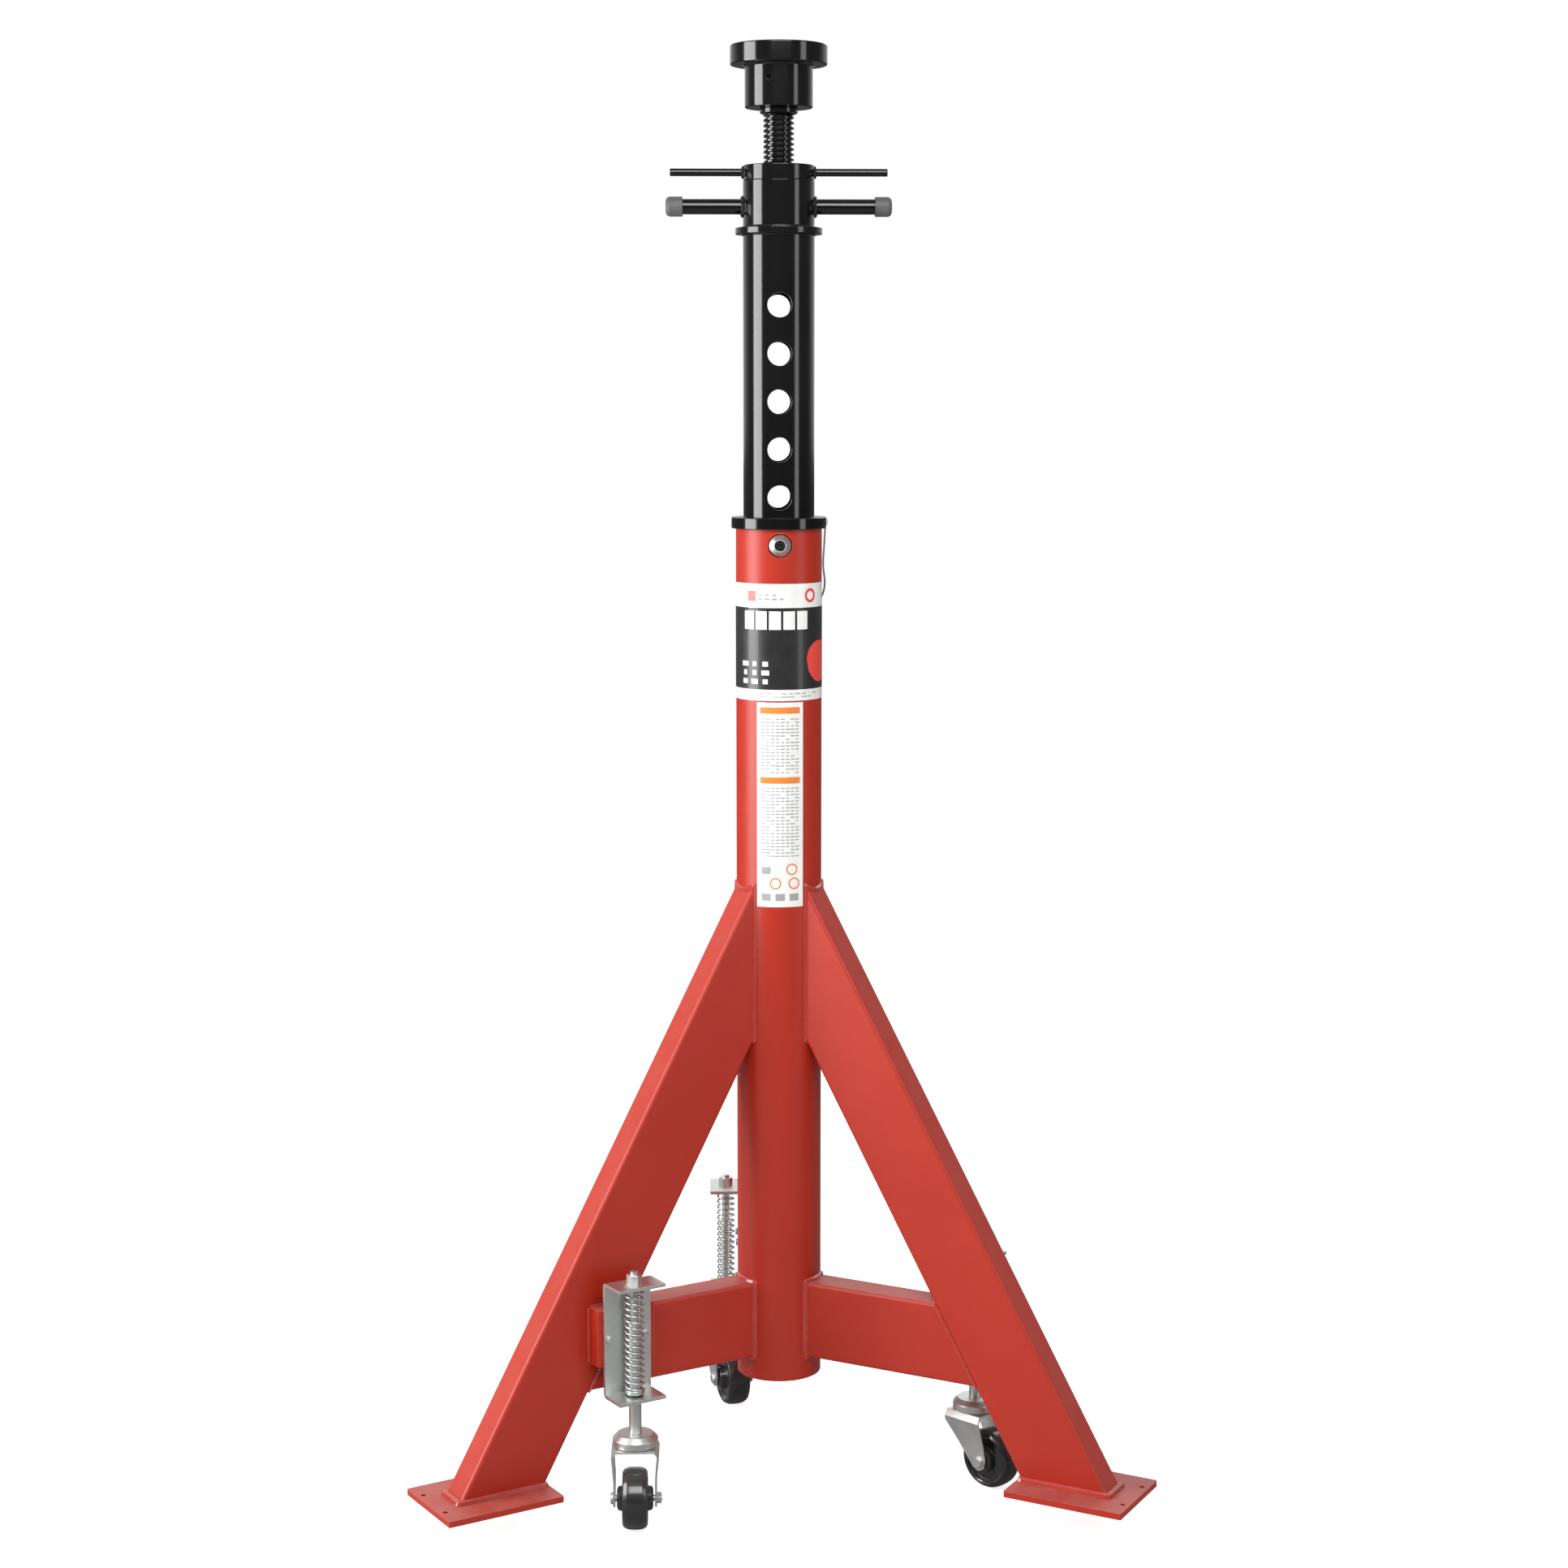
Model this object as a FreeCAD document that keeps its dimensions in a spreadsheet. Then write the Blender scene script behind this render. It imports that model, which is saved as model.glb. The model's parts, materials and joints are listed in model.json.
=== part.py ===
import FreeCAD, Part
import math
import os
import re
import Sketcher

# Tall tripod axle stand: a welded tripod post, a pinned inner mast, a load nut
# on an Acme screw with a flat saddle, and three spring-loaded swivel casters.
# Millimetres, +Z up. The floor is z = 0 with the casters down. The origin lies
# under the middle of the footprint, so the post stands a little in front of it.

DRIVING = {
    # tripod post
    "tube_od": 108, "tube_wall": 8, "tube_foot": 129, "tube_top": 1234,
    "ring_od": 119, "ring_foot": 1224, "ring_top": 1238, "ring_lip": 4,
    "ring_screw_height": 1229.5, "ring_screw_radius": 2.5, "ring_screw_flats": 2.5,
    "ring_socket": 2, "ring_screw_angle": -31,
    # mast and its pin
    "mast_od": 88.9, "mast_wall": 8, "mast_foot": 1015, "mast_top": 1651,
    "pin_height": 1204, "hole_pitch": 59, "hole_count": 7, "hole_radius": 15.25,
    "pin_radius": 14.3, "pin_nose": -57, "pin_tail": 88, "pin_flange_radius": 20,
    "pin_bevel": 6.8, "pin_flange_thick": 6, "pin_tail_bevel": 2,
    "pin_bar_radius": 6.35, "pin_bar_length": 90, "pin_bar_at": 75,
    "stop_foot": 1586, "stop_thick": 8,
    "handle_height": 1620, "handle_radius": 9.5, "handle_reach": 137,
    "cap_radius": 12.25, "cap_start": 119, "cap_end": 140, "cap_round": 2.5,
    # load nut, screw and saddle
    "nut_od": 88, "nut_top": 1670, "spigot_length": 12, "spigot_gap": 0.4,
    "bar_height": 1661.5, "bar_radius": 4.75, "bar_reach": 134.5,
    "screw_radius": 19.05, "thread_pitch": 6.35, "thread_depth": 3.2, "thread_turns": 24,
    "thread_start": 3.38, "groove_mouth": 4.15, "groove_root": 2.35,
    "screw_foot": 1573, "shoulder_foot": 1733, "shoulder_radius": 23.5,
    "shoulder_taper": 3, "screw_nose_radius": 15, "screw_nose": 38,
    "saddle_foot": 1739, "saddle_step": 1790.6, "saddle_top": 1814.6,
    "saddle_radius": 42, "saddle_cap_radius": 60, "socket_depth": 40,
    "grub_height": 1772, "grub_radius": 4, "grub_length": 22, "grub_flats": 4,
    "grub_socket": 4, "grub_angle": -108.5,
    # legs, braces and foot plates
    "leg_lean": 30, "leg_reach": 470, "leg_depth": 100, "leg_width": 44,
    "leg_wall": 4, "leg_corner": 5,
    "brace_foot": 158, "brace_top": 258,
    "plate_foot": 40, "plate_thick": 8, "plate_reach": 503, "plate_length": 155,
    "plate_width": 124, "plate_hole_reach": 494, "plate_hole_space": 64,
    "plate_hole_radius": 3.3, "plate_corner": 2,
    # spring-loaded caster mounts
    "caster_out": 251, "caster_along": 67,
    "pad_start": 211, "pad_end": 291, "pad_foot": 196, "pad_top": 268,
    "bracket_back": 45.5, "bracket_end": 88.5, "bracket_width": 65,
    "bracket_foot": 156, "bracket_top": 304, "bracket_wall": 4.5, "bracket_bend": 6,
    "bracket_screw_space": 50, "bracket_screw_height": 230,
    "bracket_screw_radius": 3, "bracket_screw_head": 5, "bracket_screw_length": 16,
    "screw_head_height": 3.5, "screw_socket_radius": 2.3, "screw_socket_depth": 2,
    "bush_radius": 10, "bush_flange_radius": 13, "bush_flange": 2.7, "fit_gap": 0.05,
    "stem_radius": 8, "stem_stud_radius": 5, "stem_step": 255, "stem_top": 319,
    "stem_pin_radius": 6, "stem_rivet_radius": 9, "stem_rivet_foot": 90.5,
    "stem_nut_flats": 16.5, "stem_nut_height": 11,
    "spring_radius": 12.5, "spring_wire": 3, "spring_pitch": 7.6,
    "spring_foot": 165.4, "spring_top": 299.3, "seat_thick": 2,
    # swivel casters
    "cup_radius": 28.5, "cup_foot": 97, "cup_top": 112,
    "ball_radius": 2.5, "ball_circle": 20, "ball_count": 14, "race_gap": 0.5,
    "race_depth": 6, "cup_shoulder": 9, "cup_dome": 6,
    "crown_top": 96.5, "fork_wall": 2.5, "fork_half_top": 30, "fork_half_foot": 27,
    "fork_bend": 8, "fork_shoulder": 60, "fork_back": -26, "fork_front": 27,
    "wheel_radius": 38, "wheel_trail": 28, "wheel_half_tread": 16, "wheel_half_hub": 22.5,
    "wheel_hub_radius": 15, "wheel_web": 11, "axle_radius": 4, "axle_head_radius": 7.5,
    "axle_head": 3.5, "axle_nut_flats": 13, "axle_nut": 5.5, "axle_end": 6.5,
    # labels and lanyard
    "label_gap": 0.05, "label_thick": 0.25,
    "wrap_foot": 1011, "wrap_top": 1157, "wrap_angle": 200,
    "guide_foot": 750, "guide_top": 1009, "guide_label_angle": 64,
    "lanyard_radius": 1.2, "anchor_angle": 19.7, "anchor_out": 65.5, "anchor_width": 5,
}

LEGS = {"rear": 90, "left": 210, "right": 330}
WHEEL_HEADING = {"rear": -72.5, "left": -90, "right": -45}
POST_Y = "-(plate_reach*(1 - sin(30)) - plate_width/2*cos(30))/2"
Z_AXIS = FreeCAD.Vector(0, 0, 1)

# The lanyard hangs from the guide ring, loops behind the post and comes up
# under the pin's flange. Points are taken from the post axis and the floor.
LANYARD_ROUTE = [
    (59.1, 21.2, 1225.7), (58.0, 24.0, 1200.0), (56.2, 28.0, 1175.0),
    (60.5, 35.0, 1151.0), (55.0, 49.0, 1130.0), (43.0, 65.0, 1121.0),
    (26.0, 74.0, 1123.0), (11.0, 71.0, 1136.0), (3.0, 63.0, 1152.0),
    (0.5, 58.5, 1168.0), (0.0, 57.4, 1183.8),
]

os.makedirs("parts", exist_ok=True)
doc = FreeCAD.newDocument("axle_stand")
dims = doc.addObject("Spreadsheet::Sheet", "Dims")
for row, (alias, size) in enumerate(DRIVING.items(), start=1):
    dims.set(f"A{row}", alias)
    dims.set(f"B{row}", str(size))
    dims.setAlias(f"B{row}", alias)
doc.recompute()
pieces = []


def bound(expression):
    """Put the sheet's name before each dimension of an expression."""
    return re.sub(
        r"[a-z]\w+",
        lambda word: f"Dims.{word[0]}" if word[0] in DRIVING else word[0],
        expression,
    )


probe = doc.addObject("App::FeaturePython", "Probe")


def value(expression):
    """The number that an expression of the sheet's dimensions gives now."""
    return float(probe.evalExpression(bound(expression)))


def new_body(label, keep=True):
    body = doc.addObject("PartDesign::Body", label)
    body.Label = label
    body.AllowCompound = True
    if keep:
        pieces.append(body)
    return body


def place(piece, azimuth="0", out="0", along="0", up="0", heading=None):
    """Stand a piece on the post axis, or out from it in the frame of a leg."""
    piece.Placement.Rotation = FreeCAD.Rotation(Z_AXIS, value(heading or azimuth))
    turned_x = f"({out})*cos({azimuth}) - ({along})*sin({azimuth})"
    turned_y = f"({out})*sin({azimuth}) + ({along})*cos({azimuth})"
    piece.setExpression("Placement.Base.x", bound(turned_x))
    piece.setExpression("Placement.Base.y", bound(f"{POST_Y} + {turned_y}"))
    piece.setExpression("Placement.Base.z", bound(up))
    return piece


def origin_feature(body, role):
    return next(item for item in body.Origin.OriginFeatures if item.Role == role)


def sketch_on(body, name, plane, offset="0"):
    sketch = body.newObject("Sketcher::SketchObject", name)
    sketch.AttachmentSupport = [(origin_feature(body, plane), "")]
    sketch.MapMode = "FlatFace"
    sketch.setExpression("AttachmentOffset.Base.z", bound(offset))
    return sketch


def pin_point(sketch, edge, end, x, y):
    """Hold one point of a sketch at two expressions from the origin."""
    for kind, axis, expression in (("DistanceX", -2, x), ("DistanceY", -1, y)):
        size = value(expression)
        if abs(size) < 1e-9:
            sketch.addConstraint(Sketcher.Constraint("PointOnObject", edge, end, axis))
            continue
        rule = Sketcher.Constraint(kind, -1, 1, edge, end, size)
        index = sketch.addConstraint(rule)
        sketch.setExpression(f"Constraints[{index}]", bound(expression))


def outline(sketch, corners):
    """Add a closed polygon whose corners are pairs of expressions."""
    points = [FreeCAD.Vector(value(x), value(y), 0) for x, y in corners]
    first = sketch.GeometryCount
    for start, end in zip(points, points[1:] + points[:1]):
        sketch.addGeometry(Part.LineSegment(start, end))
    for index, (x, y) in enumerate(corners):
        before = first + (index - 1) % len(corners)
        sketch.addConstraint(
            Sketcher.Constraint("Coincident", before, 2, first + index, 1)
        )
        pin_point(sketch, first + index, 1, x, y)


def ring(sketch, *radii, x="0", y="0"):
    """Add one circle for each radius, about one centre."""
    for radius in radii:
        centre = FreeCAD.Vector(value(x), value(y), 0)
        edge = sketch.addGeometry(Part.Circle(centre, Z_AXIS, value(radius)))
        size = Sketcher.Constraint("Radius", edge, value(radius))
        index = sketch.addConstraint(size)
        sketch.setExpression(f"Constraints[{index}]", bound(radius))
        pin_point(sketch, edge, 3, x, y)


def pad(body, sketch, length, both_ways=False, reverse=False):
    feature = body.newObject("PartDesign::Pad", f"{body.Name}_pad")
    feature.Profile = sketch
    feature.SideType = "Symmetric" if both_ways else "One side"
    feature.Reversed = reverse
    feature.setExpression("Length", bound(length))
    doc.recompute()
    return feature


def carve(body, sketch, length=None, both_ways=False, reverse=False):
    """Cut a sketch out of a body, and see that the cut takes something away."""
    before = body.Shape.Volume
    feature = body.newObject("PartDesign::Pocket", f"{body.Name}_cut")
    feature.Profile = sketch
    feature.SideType = "Symmetric" if both_ways else "One side"
    feature.Reversed = reverse
    if length is None:
        feature.Type = "ThroughAll"
    else:
        feature.setExpression("Length", bound(length))
    doc.recompute()
    if body.Shape.Volume > before - 0.1:
        raise ValueError(f"{feature.Name} takes nothing away")
    return feature


def turned(body, corners, angle="360", plane="XZ_Plane", axis="V_Axis"):
    """A turned piece: corners are radius and height, or length and radius about X."""
    sketch = sketch_on(body, f"{body.Name}_profile", plane)
    outline(sketch, corners)
    feature = body.newObject("PartDesign::Revolution", f"{body.Name}_turned")
    feature.Profile = sketch
    feature.ReferenceAxis = (sketch, [axis])
    feature.setExpression("Angle", bound(angle))
    doc.recompute()
    return feature


def soften(body, base, size, wanted, kind="Fillet"):
    """Round or bevel the edges of a feature that a test picks out."""
    names = [f"Edge{i}" for i, edge in enumerate(base.Shape.Edges, 1) if wanted(edge)]
    feature = body.newObject(f"PartDesign::{kind}", f"{body.Name}_{kind.lower()}")
    feature.Base = (base, names)
    feature.setExpression("Size" if kind == "Chamfer" else "Radius", bound(size))
    doc.recompute()
    return feature


def around(body, features, count):
    """Repeat features evenly about the body's Z axis."""
    pattern = body.newObject("PartDesign::PolarPattern", f"{body.Name}_around")
    pattern.Originals = features
    pattern.Axis = (origin_feature(body, "Z_Axis"), [""])
    pattern.Angle = 360
    pattern.setExpression("Occurrences", bound(count))
    body.Tip = pattern
    doc.recompute()
    return pattern


def round_edge(radius):
    """A test for whole circular edges of one radius."""
    size = value(radius)

    def wanted(edge):
        curve = edge.Curve
        return isinstance(curve, Part.Circle) and abs(curve.Radius - size) < 1e-6

    return wanted


def tube(label, outer, inner, foot, top):
    body = new_body(label)
    sketch = sketch_on(body, f"{label}_section", "XY_Plane", foot)
    ring(sketch, outer, inner)
    pad(body, sketch, f"{top} - ({foot})")
    return place(body)


# --- tripod post -------------------------------------------------------------

def make_outer_tube():
    body = tube("outer_tube", "tube_od/2", "tube_od/2 - tube_wall", "tube_foot", "tube_top")
    hole = sketch_on(body, "outer_tube_pin_hole", "XZ_Plane")
    ring(hole, "hole_radius", y="pin_height")
    carve(body, hole, both_ways=True)


def make_guide_ring():
    body = new_body("guide_ring")
    bore = "mast_od/2 + 0.3"
    seat = "tube_od/2 + fit_gap"
    shape = turned(body, [
        (seat, "ring_foot"), ("ring_od/2", "ring_foot"), ("ring_od/2", "ring_top"),
        (bore, "ring_top"), (bore, "ring_top - ring_lip"), (seat, "ring_top - ring_lip"),
    ])
    soften(body, shape, "0.8", round_edge("ring_od/2"), "Chamfer")
    hole = sketch_on(body, "guide_ring_screw_hole", "YZ_Plane")
    ring(hole, "ring_screw_radius + fit_gap", y="ring_screw_height")
    carve(body, hole, both_ways=True)
    place(body, "ring_screw_angle")

    screws = new_body("ring_set_screws")
    section = sketch_on(screws, "ring_screw_section", "YZ_Plane", "tube_od/2 + 0.1")
    ring(section, "ring_screw_radius", y="ring_screw_height")
    shank = pad(screws, section, "ring_od/2 - tube_od/2 - 0.5")
    socket = sketch_on(screws, "ring_screw_socket", "YZ_Plane", "ring_od/2 - ring_socket")
    outline(socket, hexagon("ring_screw_flats", y="ring_screw_height"))
    cut = carve(screws, socket, "2*ring_socket", reverse=True)
    around(screws, [shank, cut], "2")
    place(screws, "ring_screw_angle")


def hexagon(flats, x="0", y="0"):
    """Corner expressions of a hexagon with this size across its flats."""
    corners = []
    for index in range(6):
        turn = 30 + 60 * index
        radius = f"({flats})/2/cos(30)"
        corners.append((f"{x} + {radius}*cos({turn})", f"{y} + {radius}*sin({turn})"))
    return corners


def make_lanyard_anchor():
    body = new_body("lanyard_anchor")
    section = sketch_on(body, "anchor_section", "YZ_Plane", "ring_od/2")
    outline(section, [
        ("-anchor_width/2", "ring_foot + 2"), ("anchor_width/2", "ring_foot + 2"),
        ("anchor_width/2", "ring_top - 3"), ("-anchor_width/2", "ring_top - 3"),
    ])
    block = pad(body, section, "anchor_out - ring_od/2")
    soften(body, block, "1", lambda edge: edge.CenterOfMass.x > value("anchor_out - 0.01"))
    place(body, "anchor_angle")


def make_labels():
    inner = "tube_od/2 + label_gap"
    outer = f"{inner} + label_thick"
    for label, foot, top, angle in (
        ("wrap_label", "wrap_foot", "wrap_top", "wrap_angle"),
        ("guide_label", "guide_foot", "guide_top", "guide_label_angle"),
    ):
        body = new_body(label)
        turned(body, [(inner, foot), (outer, foot), (outer, top), (inner, top)], angle)
        middle = math.degrees(math.atan2(body.Shape.CenterOfGravity.y,
                                         body.Shape.CenterOfGravity.x))
        place(body, heading=f"{-90 - middle}")


# --- legs --------------------------------------------------------------------

def leg_line(radius, inset="0"):
    """Height of the leg's outer face at a radius, moved in by an inset."""
    foot = "plate_foot + plate_thick"
    return f"{foot} + (leg_reach - ({inset})/cos(leg_lean) - ({radius}))/tan(leg_lean)"


def make_box_bar(label, azimuth, outer, inner, along):
    """A rectangular tube standing radially, coped to fit the round post."""
    body = new_body(label)
    side = sketch_on(body, f"{label}_side", "XZ_Plane")
    outline(side, outer)
    solid = pad(body, side, "leg_width", both_ways=True)

    def long_edge(edge):
        if not isinstance(edge.Curve, Part.Line):
            return False
        return abs(abs(edge.Curve.Direction.dot(along)) - 1) < 1e-6

    soften(body, solid, "leg_corner", long_edge)
    hollow = sketch_on(body, f"{label}_hollow", "XZ_Plane")
    outline(hollow, inner)
    carve(body, hollow, "leg_width - 2*leg_wall", both_ways=True)
    cope = sketch_on(body, f"{label}_cope", "XY_Plane")
    ring(cope, "tube_od/2")
    carve(body, cope, both_ways=True)
    return place(body, azimuth)


def make_leg(name, azimuth):
    inside = "20"
    foot = "plate_foot + plate_thick"
    heel = "leg_reach - leg_depth/cos(leg_lean)"
    outer = [
        ("leg_reach", foot), (inside, leg_line(inside)),
        (inside, leg_line(inside, "leg_depth")), (heel, foot),
    ]
    low = f"{foot} - 10"
    reach = "leg_reach - leg_wall/cos(leg_lean) + 10*tan(leg_lean)"
    inner_heel = "leg_reach - (leg_depth - leg_wall)/cos(leg_lean) + 10*tan(leg_lean)"
    inner = [
        (reach, low), ("10", leg_line("10", "leg_wall")),
        ("10", leg_line("10", "leg_depth - leg_wall")), (inner_heel, low),
    ]
    lean = math.radians(value("leg_lean"))
    along = FreeCAD.Vector(math.sin(lean), 0, -math.cos(lean))
    make_box_bar(f"leg_{name}", azimuth, outer, inner, along)


def make_brace(name, azimuth):
    foot = "plate_foot + plate_thick"

    def leg_face(height):
        return f"leg_reach - leg_depth/cos(leg_lean) - ({height} - ({foot}))*tan(leg_lean)"

    outer = [
        ("20", "brace_foot"), (leg_face("brace_foot"), "brace_foot"),
        (leg_face("brace_top"), "brace_top"), ("20", "brace_top"),
    ]
    low = "brace_foot + leg_wall"
    high = "brace_top - leg_wall"
    inner = [("10", low), ("leg_reach", low), ("leg_reach", high), ("10", high)]
    make_box_bar(f"brace_{name}", azimuth, outer, inner, FreeCAD.Vector(1, 0, 0))


def make_foot_plate(name, azimuth):
    body = new_body(f"foot_plate_{name}")
    sketch = sketch_on(body, f"foot_plate_{name}_outline", "XY_Plane", "plate_foot")
    back = "plate_reach - plate_length"
    side = "plate_width/2"
    outline(sketch, [
        (back, f"-{side}"), ("plate_reach", f"-{side}"),
        ("plate_reach", side), (back, side),
    ])
    for sign in ("-", ""):
        across = f"{sign}plate_hole_space/2"
        ring(sketch, "plate_hole_radius", x="plate_hole_reach", y=across)
    plate = pad(body, sketch, "plate_thick")

    def corner_edge(edge):
        upright = edge.Length < value("plate_thick") + 0.1
        return upright and isinstance(edge.Curve, Part.Line)

    soften(body, plate, "plate_corner", corner_edge)
    place(body, azimuth)


# --- spring-loaded caster mounts ---------------------------------------------

def make_pads():
    """Three steel blocks welded to the sides of the legs, one for each bracket."""
    body = new_body("caster_pads")
    sketch = sketch_on(body, "caster_pads_section", "XY_Plane", "pad_foot")
    outline(sketch, [
        ("pad_start", "leg_width/2"), ("pad_end", "leg_width/2"),
        ("pad_end", "bracket_back"), ("pad_start", "bracket_back"),
    ])
    block = pad(body, sketch, "pad_top - pad_foot")
    hole = sketch_on(body, "caster_pads_holes", "XZ_Plane", "-bracket_back")
    for sign in ("-", "+"):
        across = f"caster_out {sign} bracket_screw_space/2"
        ring(hole, "bracket_screw_radius + fit_gap", x=across, y="bracket_screw_height")
    holes = carve(body, hole, "bracket_screw_length - bracket_wall + 1", reverse=True)
    around(body, [block, holes], "3")
    place(body, str(LEGS["rear"]))


def make_bracket(name, azimuth):
    label = f"caster_bracket_{name}"
    body = new_body(label)
    section = sketch_on(body, f"{label}_section", "YZ_Plane", "caster_out")
    near = "bracket_back"
    wall = "bracket_back + bracket_wall"
    outline(section, [
        (near, "bracket_foot"), ("bracket_end", "bracket_foot"),
        ("bracket_end", "bracket_foot + bracket_wall"),
        (wall, "bracket_foot + bracket_wall"), (wall, "bracket_top - bracket_wall"),
        ("bracket_end", "bracket_top - bracket_wall"),
        ("bracket_end", "bracket_top"), (near, "bracket_top"),
    ])
    channel = pad(body, section, "bracket_width", both_ways=True)

    def outer_bend(edge):
        middle = edge.CenterOfMass
        ends = (value("bracket_foot"), value("bracket_top"))
        at_end = min(abs(middle.z - z) for z in ends) < 1e-6
        return at_end and abs(middle.y - value(near)) < 1e-6 and edge.Length > 20

    soften(body, channel, "bracket_bend", outer_bend)
    stud_hole = sketch_on(body, f"{label}_stud_hole", "XY_Plane", "bracket_top")
    ring(stud_hole, "stem_stud_radius + fit_gap", x="caster_out", y="caster_along")
    carve(body, stud_hole, "bracket_wall + 1")
    bush_hole = sketch_on(body, f"{label}_bush_hole", "XY_Plane", "bracket_foot")
    ring(bush_hole, "bush_radius + fit_gap", x="caster_out", y="caster_along")
    carve(body, bush_hole, "bracket_wall + 1", reverse=True)
    screw_hole = sketch_on(body, f"{label}_screw_holes", "XZ_Plane", f"-({wall})")
    for sign in ("-", "+"):
        across = f"caster_out {sign} bracket_screw_space/2"
        ring(screw_hole, "bracket_screw_radius + fit_gap", x=across, y="bracket_screw_height")
    carve(body, screw_hole, "bracket_wall + 1", reverse=True)
    place(body, azimuth)


def make_stem_bushes():
    """A flanged plastic bush in the lower hole of each bracket."""
    body = new_body("stem_bushes")
    bore = "stem_radius + fit_gap"
    low = "bracket_foot - bush_flange"
    high = "spring_foot - seat_thick - 0.4"
    section = sketch_on(body, "stem_bush_section", "XZ_Plane", "-caster_along")
    section.setExpression("AttachmentOffset.Base.x", bound("caster_out"))
    outline(section, [
        (bore, low), ("bush_flange_radius", low), ("bush_flange_radius", "bracket_foot"),
        ("bush_radius", "bracket_foot"), ("bush_radius", high), (bore, high),
    ])
    bush = body.newObject("PartDesign::Revolution", "stem_bush")
    bush.Profile = section
    bush.ReferenceAxis = (section, ["V_Axis"])
    bush.Angle = 360
    doc.recompute()
    around(body, [bush], "3")
    place(body, str(LEGS["rear"]))


def make_bracket_screws():
    """Six button-head screws, two through each bracket into its pad."""
    screws = []
    for name, azimuth in LEGS.items():
        for side in ("-", "+"):
            head = doc.addObject("Part::Cylinder", f"screw_head_{name}")
            head.setExpression("Radius", bound("bracket_screw_head"))
            head.setExpression("Height", bound("screw_head_height"))
            shank = doc.addObject("Part::Cylinder", f"screw_shank_{name}")
            shank.setExpression("Radius", bound("bracket_screw_radius"))
            shank.setExpression("Height", bound("bracket_screw_length"))
            shank.Placement.Base.z = -value("bracket_screw_length")
            joined = doc.addObject("Part::Fuse", f"screw_blank_{name}")
            joined.Base = head
            joined.Tool = shank
            socket = doc.addObject("Part::Prism", f"screw_socket_{name}")
            socket.Polygon = 6
            socket.Circumradius = value("screw_socket_radius")
            socket.Height = value("screw_head_height")
            socket.Placement.Base.z = value("screw_head_height - screw_socket_depth")
            screw = doc.addObject("Part::Cut", f"bracket_screw_{name}")
            screw.Base = joined
            screw.Tool = socket
            place(screw, str(azimuth), f"caster_out {side} bracket_screw_space/2",
                  "bracket_back + bracket_wall", "bracket_screw_height")
            upright = FreeCAD.Rotation(FreeCAD.Vector(1, 0, 0), -90)
            screw.Placement.Rotation = screw.Placement.Rotation.multiply(upright)
            screws.append(screw)
    group = doc.addObject("Part::Compound", "bracket_screws")
    group.Label = "bracket_screws"
    group.Links = screws
    pieces.append(group)


# --- mast --------------------------------------------------------------------

def make_mast():
    body = tube("mast_tube", "mast_od/2", "mast_od/2 - mast_wall", "mast_foot", "mast_top")
    hole = sketch_on(body, "mast_pin_hole", "XZ_Plane")
    ring(hole, "hole_radius", y="pin_height - hole_pitch")
    cut = carve(body, hole, both_ways=True)
    pattern = body.newObject("PartDesign::LinearPattern", "mast_pin_holes")
    pattern.Originals = [cut]
    pattern.Direction = (origin_feature(body, "Z_Axis"), [""])
    pattern.setExpression("Length", bound("hole_pitch*(hole_count - 1)"))
    pattern.setExpression("Occurrences", bound("hole_count"))
    body.Tip = pattern
    doc.recompute()
    stop = tube("stop_ring", "tube_od/2", "mast_od/2 + fit_gap",
                "stop_foot", "stop_foot + stop_thick")
    soften(stop, stop.Tip, "0.8", round_edge("tube_od/2"), "Chamfer")


def make_coped_bar(label, radius, reach, height, post_radius, heading):
    """A round bar standing out from a round piece, cut to fit against it."""
    body = new_body(label)
    section = sketch_on(body, f"{label}_section", "YZ_Plane", f"{post_radius} - 6")
    ring(section, radius, y=height)
    bar = pad(body, section, f"{reach} - ({post_radius}) + 6")

    def tip(edge):
        return edge.CenterOfMass.x > value(reach) - 0.01

    soften(body, bar, "1", tip)
    cope = sketch_on(body, f"{label}_cope", "XY_Plane")
    ring(cope, post_radius)
    carve(body, cope, both_ways=True)
    return place(body, heading)


def make_lift_handles():
    for side, heading in (("right", "0"), ("left", "180")):
        make_coped_bar(f"lift_handle_{side}", "handle_radius", "handle_reach",
                       "handle_height", "mast_od/2", heading)
    caps = new_body("handle_caps")
    bore = "handle_radius + fit_gap"
    floor_at = "handle_reach + 0.2"
    shape = turned(caps, [
        ("cap_start", bore), ("cap_start", "cap_radius"), ("cap_end", "cap_radius"),
        ("cap_end", "0"), (floor_at, "0"), (floor_at, bore),
    ], plane="XY_Plane", axis="H_Axis")
    rounding = soften(caps, shape, "cap_round", lambda edge: round_edge("cap_radius")(edge)
                      and edge.CenterOfMass.x > value("cap_end") - 0.01)
    around(caps, [shape, rounding], "2")
    place(caps, up="handle_height")


# --- load nut, screw and saddle ----------------------------------------------

def make_load_nut():
    body = new_body("load_nut")
    bore = "screw_radius + fit_gap"
    spigot = "mast_od/2 - mast_wall - spigot_gap"
    shape = turned(body, [
        (bore, "mast_top - spigot_length"), (spigot, "mast_top - spigot_length"),
        (spigot, "mast_top + 0.05"), ("nut_od/2", "mast_top + 0.05"),
        ("nut_od/2", "nut_top"), (bore, "nut_top"),
    ])
    soften(body, shape, "1", round_edge("nut_od/2"), "Chamfer")
    place(body)
    for side, heading in (("right", "0"), ("left", "180")):
        make_coped_bar(f"nut_bar_{side}", "bar_radius", "bar_reach", "bar_height",
                       "nut_od/2", heading)


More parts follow.
